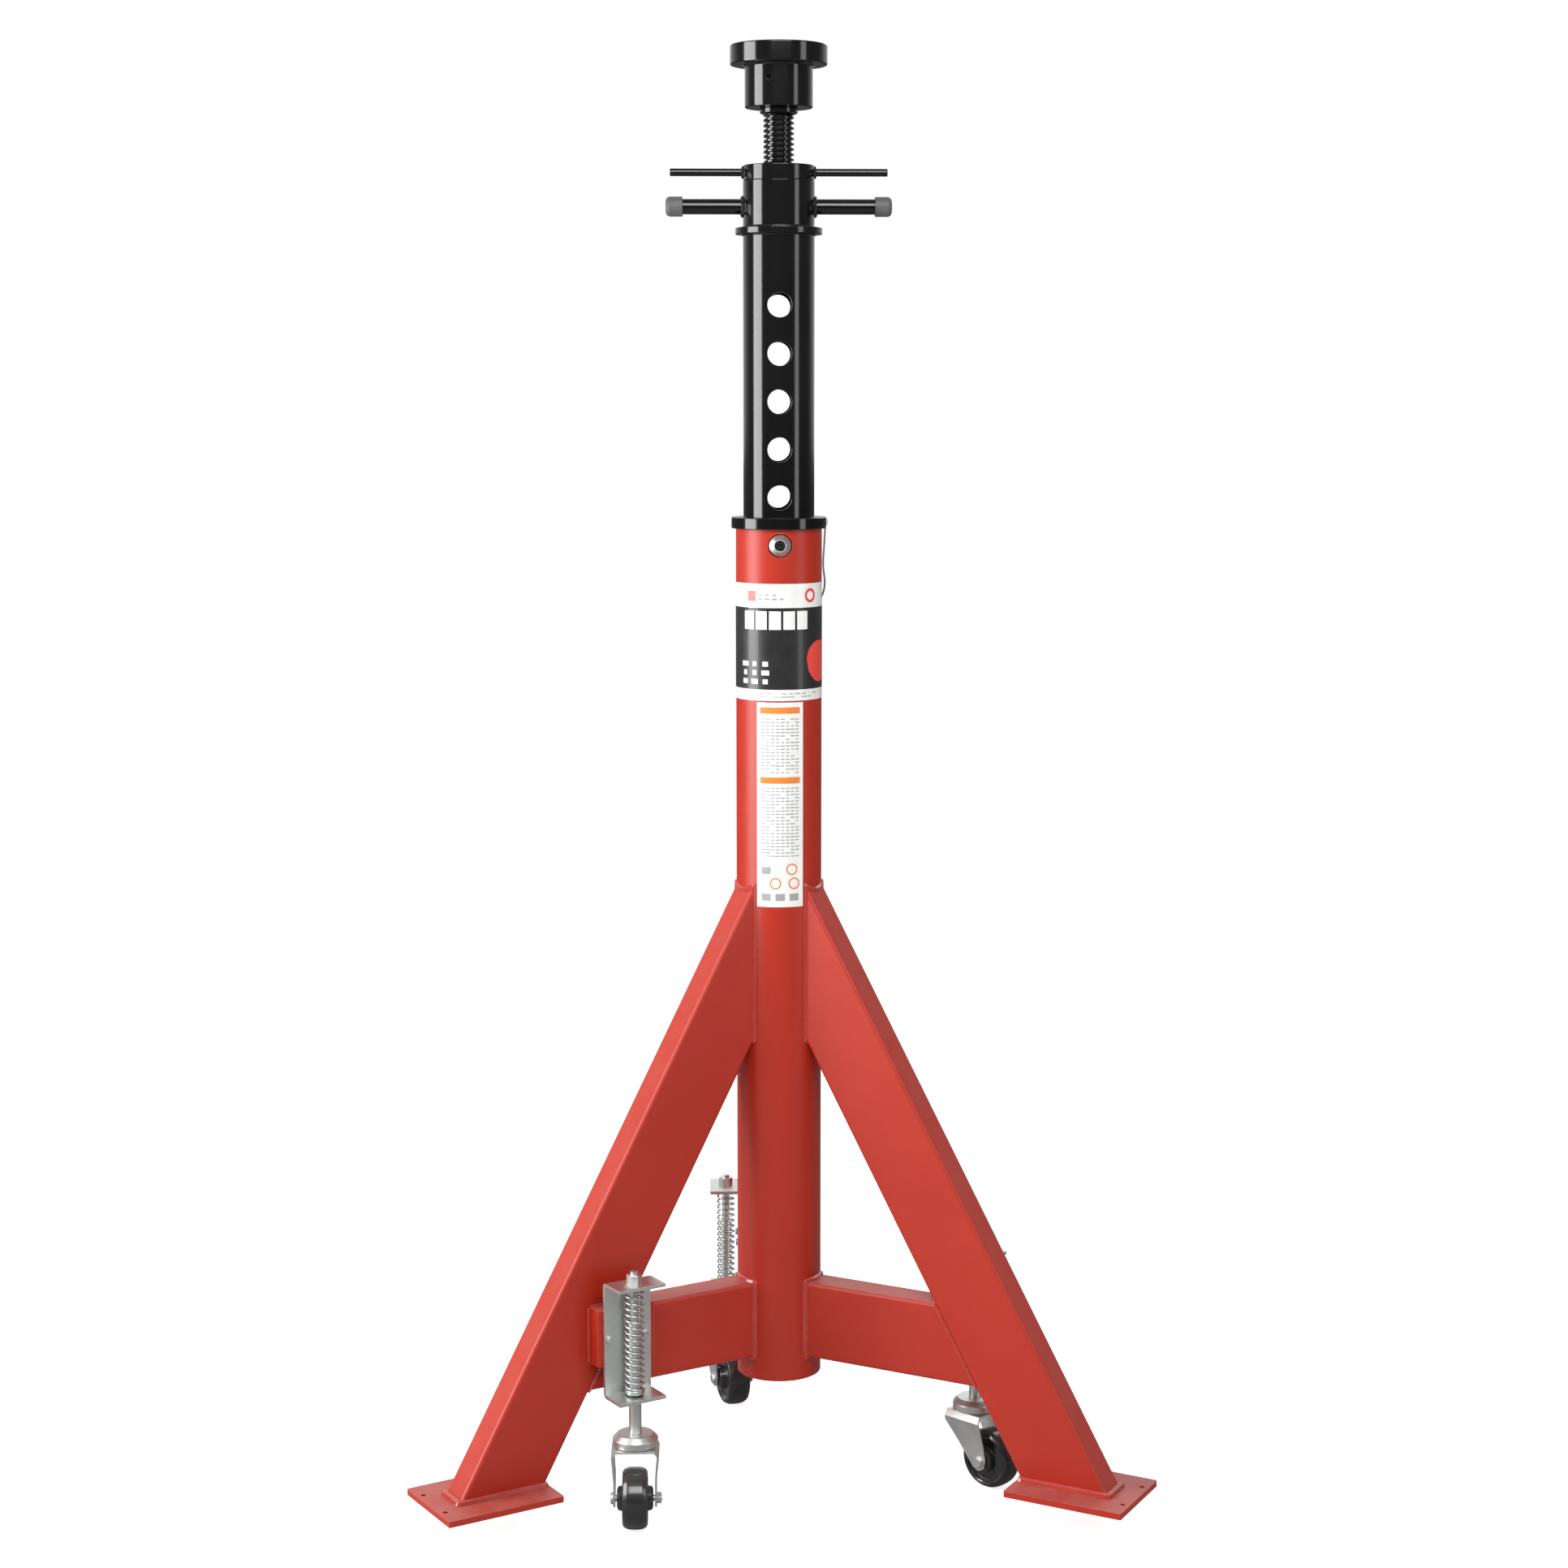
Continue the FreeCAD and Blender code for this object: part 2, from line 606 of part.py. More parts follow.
def make_lift_screw():
    body = new_body("lift_screw")
    nose = "screw_nose_radius - fit_gap"
    turned(body, [
        ("0", "screw_foot"), ("screw_radius - 2", "screw_foot"),
        ("screw_radius", "screw_foot + 2"),
        ("screw_radius", "shoulder_foot - shoulder_taper"),
        ("shoulder_radius", "shoulder_foot"), ("shoulder_radius", "saddle_foot"),
        (nose, "saddle_foot"), (nose, "saddle_foot + screw_nose"),
        ("0", "saddle_foot + screw_nose"),
    ])
    groove_sketch = sketch_on(body, "thread_groove", "XZ_Plane")
    first = "screw_foot + thread_start"
    root = "screw_radius - thread_depth"
    flank = "(groove_mouth - groove_root)/2"
    mouth = "screw_radius + 0.5"
    outline(groove_sketch, [
        (mouth, first), (root, f"{first} + {flank}"),
        (root, f"{first} + {flank} + groove_root"), (mouth, f"{first} + groove_mouth"),
    ])
    groove = body.newObject("PartDesign::Groove", "lift_screw_groove")
    groove.Profile = groove_sketch
    groove.ReferenceAxis = (groove_sketch, ["V_Axis"])
    groove.Angle = 360
    doc.recompute()
    pattern = body.newObject("PartDesign::LinearPattern", "lift_screw_thread")
    pattern.Originals = [groove]
    pattern.Direction = (origin_feature(body, "Z_Axis"), [""])
    pattern.setExpression("Length", bound("thread_pitch*(thread_turns - 1)"))
    pattern.setExpression("Occurrences", bound("thread_turns"))
    body.Tip = pattern
    doc.recompute()
    place(body)


def make_saddle():
    body = new_body("saddle")
    depth = "saddle_foot + socket_depth"
    shape = turned(body, [
        ("screw_nose_radius", "saddle_foot + 0.05"), ("saddle_radius", "saddle_foot + 0.05"),
        ("saddle_radius", "saddle_step"), ("saddle_cap_radius", "saddle_step"),
        ("saddle_cap_radius", "saddle_top"), ("0", "saddle_top"),
        ("0", depth), ("screw_nose_radius", depth),
    ])
    soften(body, shape, "1.2", round_edge("saddle_cap_radius"), "Chamfer")
    hole = sketch_on(body, "saddle_grub_hole", "YZ_Plane")
    ring(hole, "grub_radius + fit_gap", y="grub_height")
    carve(body, hole, "saddle_radius + 1", reverse=True)
    place(body, "grub_angle")

    grub = new_body("saddle_set_screw")
    section = sketch_on(grub, "grub_section", "YZ_Plane", "screw_nose_radius + 0.1")
    ring(section, "grub_radius", y="grub_height")
    pad(grub, section, "grub_length")
    deep = "screw_nose_radius + grub_length - grub_socket"
    socket = sketch_on(grub, "grub_socket_section", "YZ_Plane", deep)
    outline(socket, hexagon("grub_flats", y="grub_height"))
    carve(grub, socket, "2*grub_socket", reverse=True)
    place(grub, "grub_angle")


# --- locking pin and lanyard -------------------------------------------------

def make_locking_pin():
    body = new_body("locking_pin")
    flange = "tube_od/2 + 0.3"
    turned(body, [
        ("0", "pin_nose"), ("pin_radius - pin_bevel", "pin_nose"),
        ("pin_radius", "pin_nose + pin_bevel"),
        ("pin_radius", flange), ("pin_flange_radius", flange),
        ("pin_flange_radius", f"{flange} + pin_flange_thick"),
        ("pin_radius", f"{flange} + pin_flange_thick"),
        ("pin_radius", "pin_tail - pin_tail_bevel"),
        ("pin_radius - pin_tail_bevel", "pin_tail"), ("0", "pin_tail"),
    ], plane="XY_Plane")
    hole = sketch_on(body, "pin_bar_hole", "YZ_Plane")
    ring(hole, "pin_bar_radius + fit_gap", x="pin_bar_at")
    carve(body, hole, both_ways=True)
    place(body, up="pin_height")

    bar = new_body("pin_handle")
    section = sketch_on(bar, "pin_handle_section", "YZ_Plane")
    ring(section, "pin_bar_radius", x="pin_bar_at")
    rod = pad(bar, section, "pin_bar_length", both_ways=True)
    soften(bar, rod, "1.2", round_edge("pin_bar_radius"))
    place(bar, up="pin_height")


def rounded_path(points):
    """Straight runs joined by tangent arcs, each as large as its runs allow."""
    edges = []
    start = points[0]
    for before, corner, after in zip(points, points[1:], points[2:]):
        into = corner - before
        out = after - corner
        half_turn = into.getAngle(out) / 2
        trim = 0.45 * min(into.Length, out.Length)
        radius = trim / math.tan(half_turn)
        print(f"lanyard bend radius {radius:.1f}")
        into.normalize()
        out.normalize()
        enter = corner - into * trim
        leave = corner + out * trim
        inward = out - into
        inward.normalize()
        middle = corner + inward * (radius / math.cos(half_turn) - radius)
        edges.append(Part.LineSegment(start, enter).toShape())
        edges.append(Part.Arc(enter, middle, leave).toShape())
        start = leave
    edges.append(Part.LineSegment(start, points[-1]).toShape())
    return Part.Wire(edges)


def make_lanyard():
    """A thin wire rope swept along its hanging line."""
    points = [FreeCAD.Vector(*point) for point in LANYARD_ROUTE]
    path = rounded_path(points)
    radius = value("lanyard_radius")
    section = Part.Wire(Part.Circle(points[0], points[1] - points[0], radius).toShape())
    solid = path.makePipeShell([section], True, False)
    print(f"lanyard length {path.Length:.1f}, volume {solid.Volume:.1f}, "
          f"section times length {math.pi * radius**2 * path.Length:.1f}")
    lanyard = doc.addObject("Part::Feature", "pin_lanyard")
    lanyard.Label = "pin_lanyard"
    lanyard.Shape = solid
    place(lanyard)
    pieces.append(lanyard)


# --- casters -----------------------------------------------------------------

def make_stem(name, azimuth):
    body = new_body(f"caster_stem_{name}")
    seat = "spring_foot - 0.1"
    turned(body, [
        ("0", "stem_rivet_foot"), ("stem_rivet_radius", "stem_rivet_foot"),
        ("stem_rivet_radius", "crown_top - fork_wall - 0.3"),
        ("stem_pin_radius", "crown_top - fork_wall - 0.3"),
        ("stem_pin_radius", "cup_top"), ("stem_radius", "cup_top"),
        ("stem_radius", f"{seat} - seat_thick"), ("spring_radius - 0.5", f"{seat} - seat_thick"),
        ("spring_radius - 0.5", seat), ("stem_radius", seat),
        ("stem_radius", "stem_step"), ("stem_stud_radius", "stem_step"),
        ("stem_stud_radius", "stem_top"), ("0", "stem_top"),
    ])
    place(body, azimuth, "caster_out", "caster_along")

    nut = new_body(f"stem_nut_{name}")
    section = sketch_on(nut, f"stem_nut_{name}_section", "XY_Plane", "bracket_top + 0.1")
    outline(section, hexagon("stem_nut_flats"))
    ring(section, "stem_stud_radius + fit_gap")
    block = pad(nut, section, "stem_nut_height")

    def top_edge(edge):
        straight = isinstance(edge.Curve, Part.Line)
        return straight and edge.BoundBox.ZMin > value("bracket_top + stem_nut_height")

    soften(nut, block, "1", top_edge, "Chamfer")
    place(nut, azimuth, "caster_out", "caster_along")


def make_spring(name, azimuth):
    body = new_body(f"caster_spring_{name}")
    section = sketch_on(body, f"caster_spring_{name}_wire", "XZ_Plane")
    ring(section, "spring_wire/2", x="spring_radius - spring_wire/2",
         y="spring_foot + spring_wire/2")
    coil = body.newObject("PartDesign::AdditiveHelix", f"caster_spring_{name}_coil")
    coil.Profile = section
    coil.ReferenceAxis = (section, ["V_Axis"])
    coil.Mode = "pitch-height-angle"
    coil.setExpression("Pitch", bound("spring_pitch"))
    coil.setExpression("Height", bound("spring_top - spring_foot - spring_wire"))
    doc.recompute()
    place(body, azimuth, "caster_out", "caster_along")


def make_swivel(name, azimuth):
    cup = new_body(f"swivel_cup_{name}")
    bore = "stem_pin_radius + fit_gap"
    race_in = "ball_circle - ball_radius - race_gap"
    race_out = "ball_circle + ball_radius + race_gap"
    shape = turned(cup, [
        (bore, "cup_foot"), (race_in, "cup_foot"), (race_in, "cup_foot + race_depth"),
        (race_out, "cup_foot + race_depth"), (race_out, "cup_foot"),
        ("cup_radius", "cup_foot"), ("cup_radius", "cup_foot + cup_shoulder"),
        ("cup_radius - cup_dome", "cup_top - 0.1"),
        (bore, "cup_top - 0.1"),
    ])
    soften(cup, shape, "1.5", round_edge("cup_radius"))
    place(cup, azimuth, "caster_out", "caster_along")

    balls = new_body(f"swivel_balls_{name}")
    section = sketch_on(balls, f"swivel_balls_{name}_section", "XZ_Plane")
    ball_height = "cup_foot + ball_radius + 0.3"
    centre = FreeCAD.Vector(0, value(ball_height), 0)
    arc = Part.ArcOfCircle(Part.Circle(centre, Z_AXIS, value("ball_radius")),
                           -math.pi / 2, math.pi / 2)
    edge = section.addGeometry(arc)
    ends = [arc.EndPoint, arc.StartPoint]
    chord = section.addGeometry(Part.LineSegment(*ends))
    rules = [
        Sketcher.Constraint("Coincident", edge, 2, chord, 1),
        Sketcher.Constraint("Coincident", chord, 2, edge, 1),
        Sketcher.Constraint("PointOnObject", edge, 1, -2),
        Sketcher.Constraint("PointOnObject", edge, 2, -2),
    ]
    for rule in rules:
        section.addConstraint(rule)
    size = section.addConstraint(Sketcher.Constraint("Radius", edge, value("ball_radius")))
    section.setExpression(f"Constraints[{size}]", bound("ball_radius"))
    pin_point(section, edge, 3, "0", ball_height)
    section.setExpression("AttachmentOffset.Base.x", bound("ball_circle"))
    ball = balls.newObject("PartDesign::Revolution", f"swivel_ball_{name}")
    ball.Profile = section
    ball.ReferenceAxis = (section, ["V_Axis"])
    ball.Angle = 360
    doc.recompute()
    around(balls, [ball], "ball_count")
    place(balls, azimuth, "caster_out", "caster_along")


def make_fork(name, azimuth, heading):
    """A bent plate fork: a U-shaped section trimmed to the fork's side shape."""
    section_body = new_body(f"fork_section_{name}", keep=False)
    section = sketch_on(section_body, f"fork_{name}_section", "YZ_Plane", "fork_back - 5")
    foot = "wheel_radius - 14"
    right = [
        ("fork_half_foot", foot), ("fork_half_foot", "fork_shoulder"),
        ("fork_half_top", "crown_top - fork_bend"), ("fork_half_top - 5", "crown_top"),
    ]
    inside = [
        ("fork_half_top - 5 - fork_wall/2", "crown_top - fork_wall"),
        ("fork_half_top - fork_wall", "crown_top - fork_bend - fork_wall/3"),
        ("fork_half_foot - fork_wall", "fork_shoulder"),
        ("fork_half_foot - fork_wall", foot),
    ]
    left = [(f"-({y})", z) for y, z in reversed(right)]
    left_inside = [(f"-({y})", z) for y, z in reversed(inside)]
    outline(section, right + left + left_inside + inside)
    pad(section_body, section, "wheel_trail + 50")

    side_body = new_body(f"fork_side_{name}", keep=False)
    side = sketch_on(side_body, f"fork_{name}_side", "XZ_Plane")
    outline(side, [
        ("fork_back", "crown_top + 1"), ("fork_front", "crown_top + 1"),
        ("wheel_trail + 11", "wheel_radius + 4"), ("wheel_trail + 9", "wheel_radius - 7"),
        ("wheel_trail", "wheel_radius - 12"), ("wheel_trail - 9", "wheel_radius - 8"),
        ("fork_back", "crown_top - 14"),
    ])
    side_pad = pad(side_body, side, "70", both_ways=True)

    def upright(edge):
        straight = isinstance(edge.Curve, Part.Line)
        low = edge.CenterOfMass.z < value("crown_top") - 15
        return straight and low and abs(edge.Curve.Direction.y) > 0.99

    soften(side_body, side_pad, "4", upright)
    trimmed = doc.addObject("Part::Common", f"fork_blank_{name}")
    trimmed.Base = section_body
    trimmed.Tool = side_body
    axle_hole = doc.addObject("Part::Cylinder", f"fork_axle_hole_{name}")
    axle_hole.setExpression("Radius", bound("axle_radius + fit_gap"))
    axle_hole.setExpression("Height", bound("4*fork_half_top"))
    axle_hole.Placement = FreeCAD.Placement(
        FreeCAD.Vector(value("wheel_trail"), value("2*fork_half_top"), value("wheel_radius")),
        FreeCAD.Rotation(FreeCAD.Vector(1, 0, 0), 90),
    )
    pin_hole = doc.addObject("Part::Cylinder", f"fork_pin_hole_{name}")
    pin_hole.setExpression("Radius", bound("stem_pin_radius + fit_gap"))
    pin_hole.setExpression("Height", bound("2*fork_half_top"))
    pin_hole.Placement.Base.z = value("crown_top - fork_half_top")
    holes = doc.addObject("Part::Fuse", f"fork_holes_{name}")
    holes.Base = axle_hole
    holes.Tool = pin_hole
    fork = doc.addObject("Part::Cut", f"caster_fork_{name}")
    fork.Label = f"caster_fork_{name}"
    fork.Base = trimmed
    fork.Tool = holes
    pieces.append(fork)
    place(fork, azimuth, "caster_out", "caster_along", heading=heading)


def set_on_axle(body, azimuth, heading):
    """Turn a piece made along X onto the axle, behind the swivel axis."""
    body.Placement.Rotation = FreeCAD.Rotation(Z_AXIS, value(f"{heading} + 90"))
    x = f"caster_out*cos({azimuth}) - caster_along*sin({azimuth}) + wheel_trail*cos({heading})"
    y = f"caster_out*sin({azimuth}) + caster_along*cos({azimuth}) + wheel_trail*sin({heading})"
    body.setExpression("Placement.Base.x", bound(x))
    body.setExpression("Placement.Base.y", bound(f"{POST_Y} + {y}"))
    body.setExpression("Placement.Base.z", bound("wheel_radius"))


def make_axle_bolt(name, azimuth, heading):
    """Bolt with a round head on one side and a nut on the other."""
    body = new_body(f"axle_bolt_{name}")
    outer = "fork_half_foot + 0.1"
    end = f"-({outer}) - axle_head"
    turned(body, [
        (end, "0"), (end, "axle_head_radius - 1.5"), (f"{end} + 1.5", "axle_head_radius"),
        (f"-({outer})", "axle_head_radius"), (f"-({outer})", "axle_radius"),
        (f"{outer} + axle_end", "axle_radius"), (f"{outer} + axle_end", "0"),
    ], plane="XY_Plane", axis="H_Axis")
    nut = sketch_on(body, f"axle_nut_{name}", "YZ_Plane", outer)
    outline(nut, hexagon("axle_nut_flats"))
    ring(nut, "axle_radius + fit_gap")
    pad(body, nut, "axle_nut")
    set_on_axle(body, azimuth, heading)


def make_wheel(name, azimuth, heading):
    body = new_body(f"caster_wheel_{name}")
    bore = "axle_radius + fit_gap"
    half = [
        ("wheel_half_hub", bore), ("wheel_half_hub", "wheel_hub_radius"),
        ("wheel_web", "wheel_hub_radius + 2"), ("wheel_web", "wheel_radius - 9"),
        ("wheel_half_tread", "wheel_radius - 7"), ("wheel_half_tread", "wheel_radius - 2"),
        ("wheel_half_tread - 3", "wheel_radius"),
    ]
    mirrored = [(f"-({x})", radius) for x, radius in reversed(half)]
    turned(body, half + mirrored, plane="XY_Plane", axis="H_Axis")
    set_on_axle(body, azimuth, heading)


make_outer_tube()
make_guide_ring()
make_lanyard_anchor()
make_labels()
make_mast()
make_lift_handles()
make_load_nut()
make_lift_screw()
make_saddle()
make_locking_pin()
make_lanyard()
for name, angle in LEGS.items():
    azimuth = str(angle)
    heading = str(WHEEL_HEADING[name])
    make_leg(name, azimuth)
    make_brace(name, azimuth)
    make_foot_plate(name, azimuth)
    make_bracket(name, azimuth)
    make_stem(name, azimuth)
    make_spring(name, azimuth)
    make_swivel(name, azimuth)
    make_fork(name, azimuth, heading)
    make_axle_bolt(name, azimuth, heading)
    make_wheel(name, azimuth, heading)
make_pads()
make_stem_bushes()
make_bracket_screws()
doc.recompute()

for item in doc.Objects:
    if "Invalid" in item.State or "Error" in item.State:
        raise ValueError(f"{item.Label} did not build: {item.State}")
for piece in pieces:
    if piece.Shape.isNull() or not piece.Shape.isValid():
        raise ValueError(f"{piece.Label} has no sound shape")
    piece.Shape.exportStep(f"parts/{piece.Label}.step")
print(len(pieces), "nodes written")
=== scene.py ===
import json
import math

import bmesh
import bpy
from mathutils import Matrix, Vector

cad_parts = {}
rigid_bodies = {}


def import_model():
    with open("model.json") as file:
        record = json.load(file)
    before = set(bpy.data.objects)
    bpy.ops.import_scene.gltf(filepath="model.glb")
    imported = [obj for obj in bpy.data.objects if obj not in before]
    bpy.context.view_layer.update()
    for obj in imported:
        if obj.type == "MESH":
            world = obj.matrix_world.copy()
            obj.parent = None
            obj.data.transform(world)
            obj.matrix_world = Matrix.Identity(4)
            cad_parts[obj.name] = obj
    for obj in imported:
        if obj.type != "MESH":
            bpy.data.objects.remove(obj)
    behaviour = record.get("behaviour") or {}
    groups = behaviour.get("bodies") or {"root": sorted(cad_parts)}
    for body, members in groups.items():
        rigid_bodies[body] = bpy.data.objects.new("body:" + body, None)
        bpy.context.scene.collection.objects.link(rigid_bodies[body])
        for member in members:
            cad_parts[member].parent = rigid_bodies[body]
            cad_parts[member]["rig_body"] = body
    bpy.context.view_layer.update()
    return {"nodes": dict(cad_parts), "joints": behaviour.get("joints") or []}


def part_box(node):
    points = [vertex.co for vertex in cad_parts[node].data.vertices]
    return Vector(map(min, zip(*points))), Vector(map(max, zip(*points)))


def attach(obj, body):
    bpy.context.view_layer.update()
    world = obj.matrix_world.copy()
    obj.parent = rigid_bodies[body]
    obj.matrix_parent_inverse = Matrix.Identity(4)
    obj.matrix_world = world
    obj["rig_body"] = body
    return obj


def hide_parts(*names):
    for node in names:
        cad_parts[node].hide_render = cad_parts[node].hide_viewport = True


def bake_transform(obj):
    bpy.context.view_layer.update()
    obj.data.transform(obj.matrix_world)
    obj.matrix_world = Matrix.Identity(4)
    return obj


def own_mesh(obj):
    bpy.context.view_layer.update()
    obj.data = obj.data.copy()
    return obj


# Looks of a tall tripod axle stand: red enamel tripod, gloss black mast and
# screw, zinc-plated casters. Lengths are metres; profiles are in millimetres.

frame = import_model()
nodes = frame["nodes"]
joints = {joint["name"]: joint for joint in frame["joints"]}
MM = 0.001
LEGS = {"rear": 90, "left": 210, "right": 330}

post_low, post_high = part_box("outer_tube")
POST = Vector(((post_low.x + post_high.x) / 2, joints["nut_turn"]["pos_m"][1], 0))
UPRIGHT = Matrix.Translation(POST)

# The CAD part's own sizes, in millimetres.
POST_RADIUS = 54.0
POST_WALL = 8.0
MAST_RADIUS = 44.45
MAST_WALL = 8.0
PIN_HEIGHT = 1204.0
HOLE_PITCH = 59.0
HOLE_RADIUS = 15.25
NUT_RADIUS = 44.0


# --- node helpers ---

SOCKETS = {float: "NodeSocketFloat", int: "NodeSocketInt"}


def feed(socket, item):
    """Link an output to an input socket, or give the input a plain value."""
    if isinstance(item, bpy.types.NodeSocket):
        socket.id_data.links.new(item, socket)
    else:
        socket.default_value = item


def add_node(tree, kind, *items, **named):
    """Add a node. Items feed its inputs in order, capitalised keywords feed them by name
    (with _ for a space) and lower-case keywords set the node's own properties."""
    node = tree.nodes.new(kind)
    for label, item in named.items():
        if label[0].islower():
            setattr(node, label, item)
    for socket, item in zip(node.inputs, items):
        feed(socket, item)
    for label, item in named.items():
        if not label[0].islower():
            feed(node.inputs[label.replace("_", " ")], item)
    return node


def new_group(kind, name, inputs, outputs):
    """A node group, what its input node gives and its output node. An input is a starting
    value or a socket type; outputs are labels with socket types."""
    group = bpy.data.node_groups.new(name, kind)
    for label, item in inputs.items():
        given = not isinstance(item, str)
        socket = group.interface.new_socket(
            label, in_out="INPUT", socket_type=SOCKETS[type(item)] if given else item)
        if given:
            socket.default_value = item
    for label, item in outputs.items():
        group.interface.new_socket(label, in_out="OUTPUT", socket_type=item)
    start = group.nodes.new("NodeGroupInput")
    return group, start.outputs, group.nodes.new("NodeGroupOutput")


def calc(tree, operation, *items, clamp=False):
    """A Math node; the items are sockets or numbers."""
    return add_node(tree, "ShaderNodeMath", *items, operation=operation,
                    use_clamp=clamp).outputs[0]


def noise_node(tree, vector, scale, detail):
    return add_node(tree, "ShaderNodeTexNoise", Detail=detail, Roughness=0.55,
                    Vector=vector, Scale=scale).outputs["Fac"]


# --- camera, light and floor ---

def add_camera():
    """A long lens a little above the middle of the stand, looking slightly down."""
    distance, height = 3.544, 1.382
    around, down, aside = (math.radians(turn) for turn in (1.6, 7.755, 0.104))
    lens = bpy.data.cameras.new("camera")
    lens.sensor_width = 36
    lens.lens = 64.58
    camera = placed("camera", lens)
    back = Vector((-math.sin(around), -math.cos(around), 0))
    camera.location = POST + back * distance + Vector((0, 0, height))
    camera.rotation_euler = (math.pi / 2 - down, 0, -around - aside)
    bpy.context.scene.camera = camera


def softbox(name, bearing, distance, height, size, power, aim=None):
    """An area light at a bearing off the front, turned towards a height on the post."""
    light = bpy.data.lights.new(name, "AREA")
    light.shape = "RECTANGLE"
    light.size, light.size_y = size
    light.energy = power
    lamp = placed(name, light)
    angle = math.radians(bearing)
    away = Vector((math.sin(angle), -math.cos(angle), 0))
    lamp.location = POST + away * distance + Vector((0, 0, height))
    target = POST + Vector((0, 0, height if aim is None else aim))
    lamp.rotation_euler = (target - lamp.location).to_track_quat("-Z", "Y").to_euler()


def add_world():
    """White to the camera; as light, dim in front and bright behind the stand."""
    world = bpy.data.worlds.new("studio")
    bpy.context.scene.world = world
    world.use_nodes = True
    tree = world.node_tree
    tree.nodes.clear()
    white = (1, 1, 1, 1)
    place = add_node(tree, "ShaderNodeTexCoord")
    split = add_node(tree, "ShaderNodeSeparateXYZ", place.outputs["Generated"])
    ramp = add_node(tree, "ShaderNodeMapRange", interpolation_type="SMOOTHSTEP", From_Min=0.25,
                    From_Max=0.95, To_Min=0.14, To_Max=0.8, Value=split.outputs["Y"])
    seen = add_node(tree, "ShaderNodeBackground", Color=white, Strength=1.0)
    lit = add_node(tree, "ShaderNodeBackground", Color=white, Strength=ramp.outputs["Result"])
    path = add_node(tree, "ShaderNodeLightPath")
    mix = add_node(tree, "ShaderNodeMixShader", path.outputs["Is Camera Ray"], lit.outputs[0],
                   seen.outputs[0])
    add_node(tree, "ShaderNodeOutputWorld", Surface=mix.outputs[0])


def add_floor():
    """A white sweep: it glows a little to the camera and is dim in reflections."""
    reach, drop = 60, 0.0005
    mesh = bpy.data.meshes.new("floor")
    corners = [(-reach, -reach, 0), (reach, -reach, 0), (reach, reach, 0), (-reach, reach, 0)]
    mesh.from_pydata(corners, [], [(0, 1, 2, 3)])
    floor = placed("floor", mesh)
    floor.location.z = -drop
    material, tree, surface = new_material("pale floor", 0.9, Specular_IOR_Level=0.1,
                                           Emission_Color=(1, 1, 1, 1))
    path = add_node(tree, "ShaderNodeLightPath")
    glow = calc(tree, "MULTIPLY", path.outputs["Is Camera Ray"], 0.8)
    feed(surface.inputs["Emission Strength"], glow)
    tone = blend_colours(tree, path.outputs["Is Glossy Ray"], (0.8, 0.8, 0.8), (0.3, 0.3, 0.3))
    feed(surface.inputs["Base Color"], tone)
    mesh.materials.append(material)


# --- shader node groups ---

def shader_group(name, inputs, *outputs):
    """A shader group of plain numbers and the object coordinates inside it."""
    group, given, end = new_group("ShaderNodeTree", name, inputs,
                                  dict.fromkeys(outputs, "NodeSocketFloat"))
    return group, given, end, add_node(group, "ShaderNodeTexCoord").outputs["Object"]


def make_edge_wear_and_highlight():
    """A mask that is bright along outer edges and broken up by noise; the edges it lightens are
    wear, and on the red enamels a painted highlight as well.
    """
    group, given, end, place = shader_group("edge wear and painted highlight", {"Width": 0.001, "Breakup": 180.0},
                                            "Mask")
    bevel = add_node(group, "ShaderNodeBevel", samples=4, Radius=given["Width"])
    flat = add_node(group, "ShaderNodeNewGeometry")
    dot = add_node(group, "ShaderNodeVectorMath", bevel.outputs["Normal"],
                   flat.outputs["Normal"], operation="DOT_PRODUCT")
    bend = calc(group, "SUBTRACT", 1.0, dot.outputs["Value"])
    strong = calc(group, "MULTIPLY", bend, 7.0, clamp=True)
    noise = noise_node(group, place, given["Breakup"], 3.0)
    broken = calc(group, "MULTIPLY_ADD", noise, 1.6, -0.25, clamp=True)
    feed(end.inputs["Mask"], calc(group, "MULTIPLY", strong, broken, clamp=True))
    return group


def make_orange_peel():
    """The fine waviness of sprayed enamel: a height and a slow tone change."""
    group, given, end, place = shader_group("orange peel", {"Scale": 420.0, "Drift": 9.0},
                                            "Height", "Tone")
    feed(end.inputs["Height"], noise_node(group, place, given["Scale"], 2.0))
    feed(end.inputs["Tone"], noise_node(group, place, given["Drift"], 3.0))
    return group


def make_dust():
    """A thin film on faces that look up, broken into patches."""
    group, given, end, place = shader_group("dust", {"Amount": 0.3, "Patch": 30.0}, "Mask")
    geometry = add_node(group, "ShaderNodeNewGeometry")
    split = add_node(group, "ShaderNodeSeparateXYZ", geometry.outputs["Normal"])
    up = calc(group, "POWER", calc(group, "MAXIMUM", split.outputs["Z"], 0.0), 2.0)
    film = calc(group, "MULTIPLY", up, noise_node(group, place, given["Patch"], 6.0))
    feed(end.inputs["Mask"], calc(group, "MULTIPLY", film, given["Amount"], clamp=True))
    return group


def make_zinc_spangle():
    """Zinc plate: cloudy tone, fine drawn lines and a small height."""
    group, given, end, place = shader_group("zinc spangle", {"Cloud": 60.0, "Grain": 900.0},
                                            "Tone", "Height")
    stretch = add_node(group, "ShaderNodeMapping", Scale=(1.0, 1.0, 0.12), Vector=place)
    feed(end.inputs["Tone"], noise_node(group, place, given["Cloud"], 5.0))
    feed(end.inputs["Height"],
         noise_node(group, stretch.outputs["Vector"], given["Grain"], 2.0))
    return group


EDGE_WEAR_AND_HIGHLIGHT = make_edge_wear_and_highlight()
ORANGE_PEEL = make_orange_peel()
DUST = make_dust()
ZINC_SPANGLE = make_zinc_spangle()


# --- materials ---

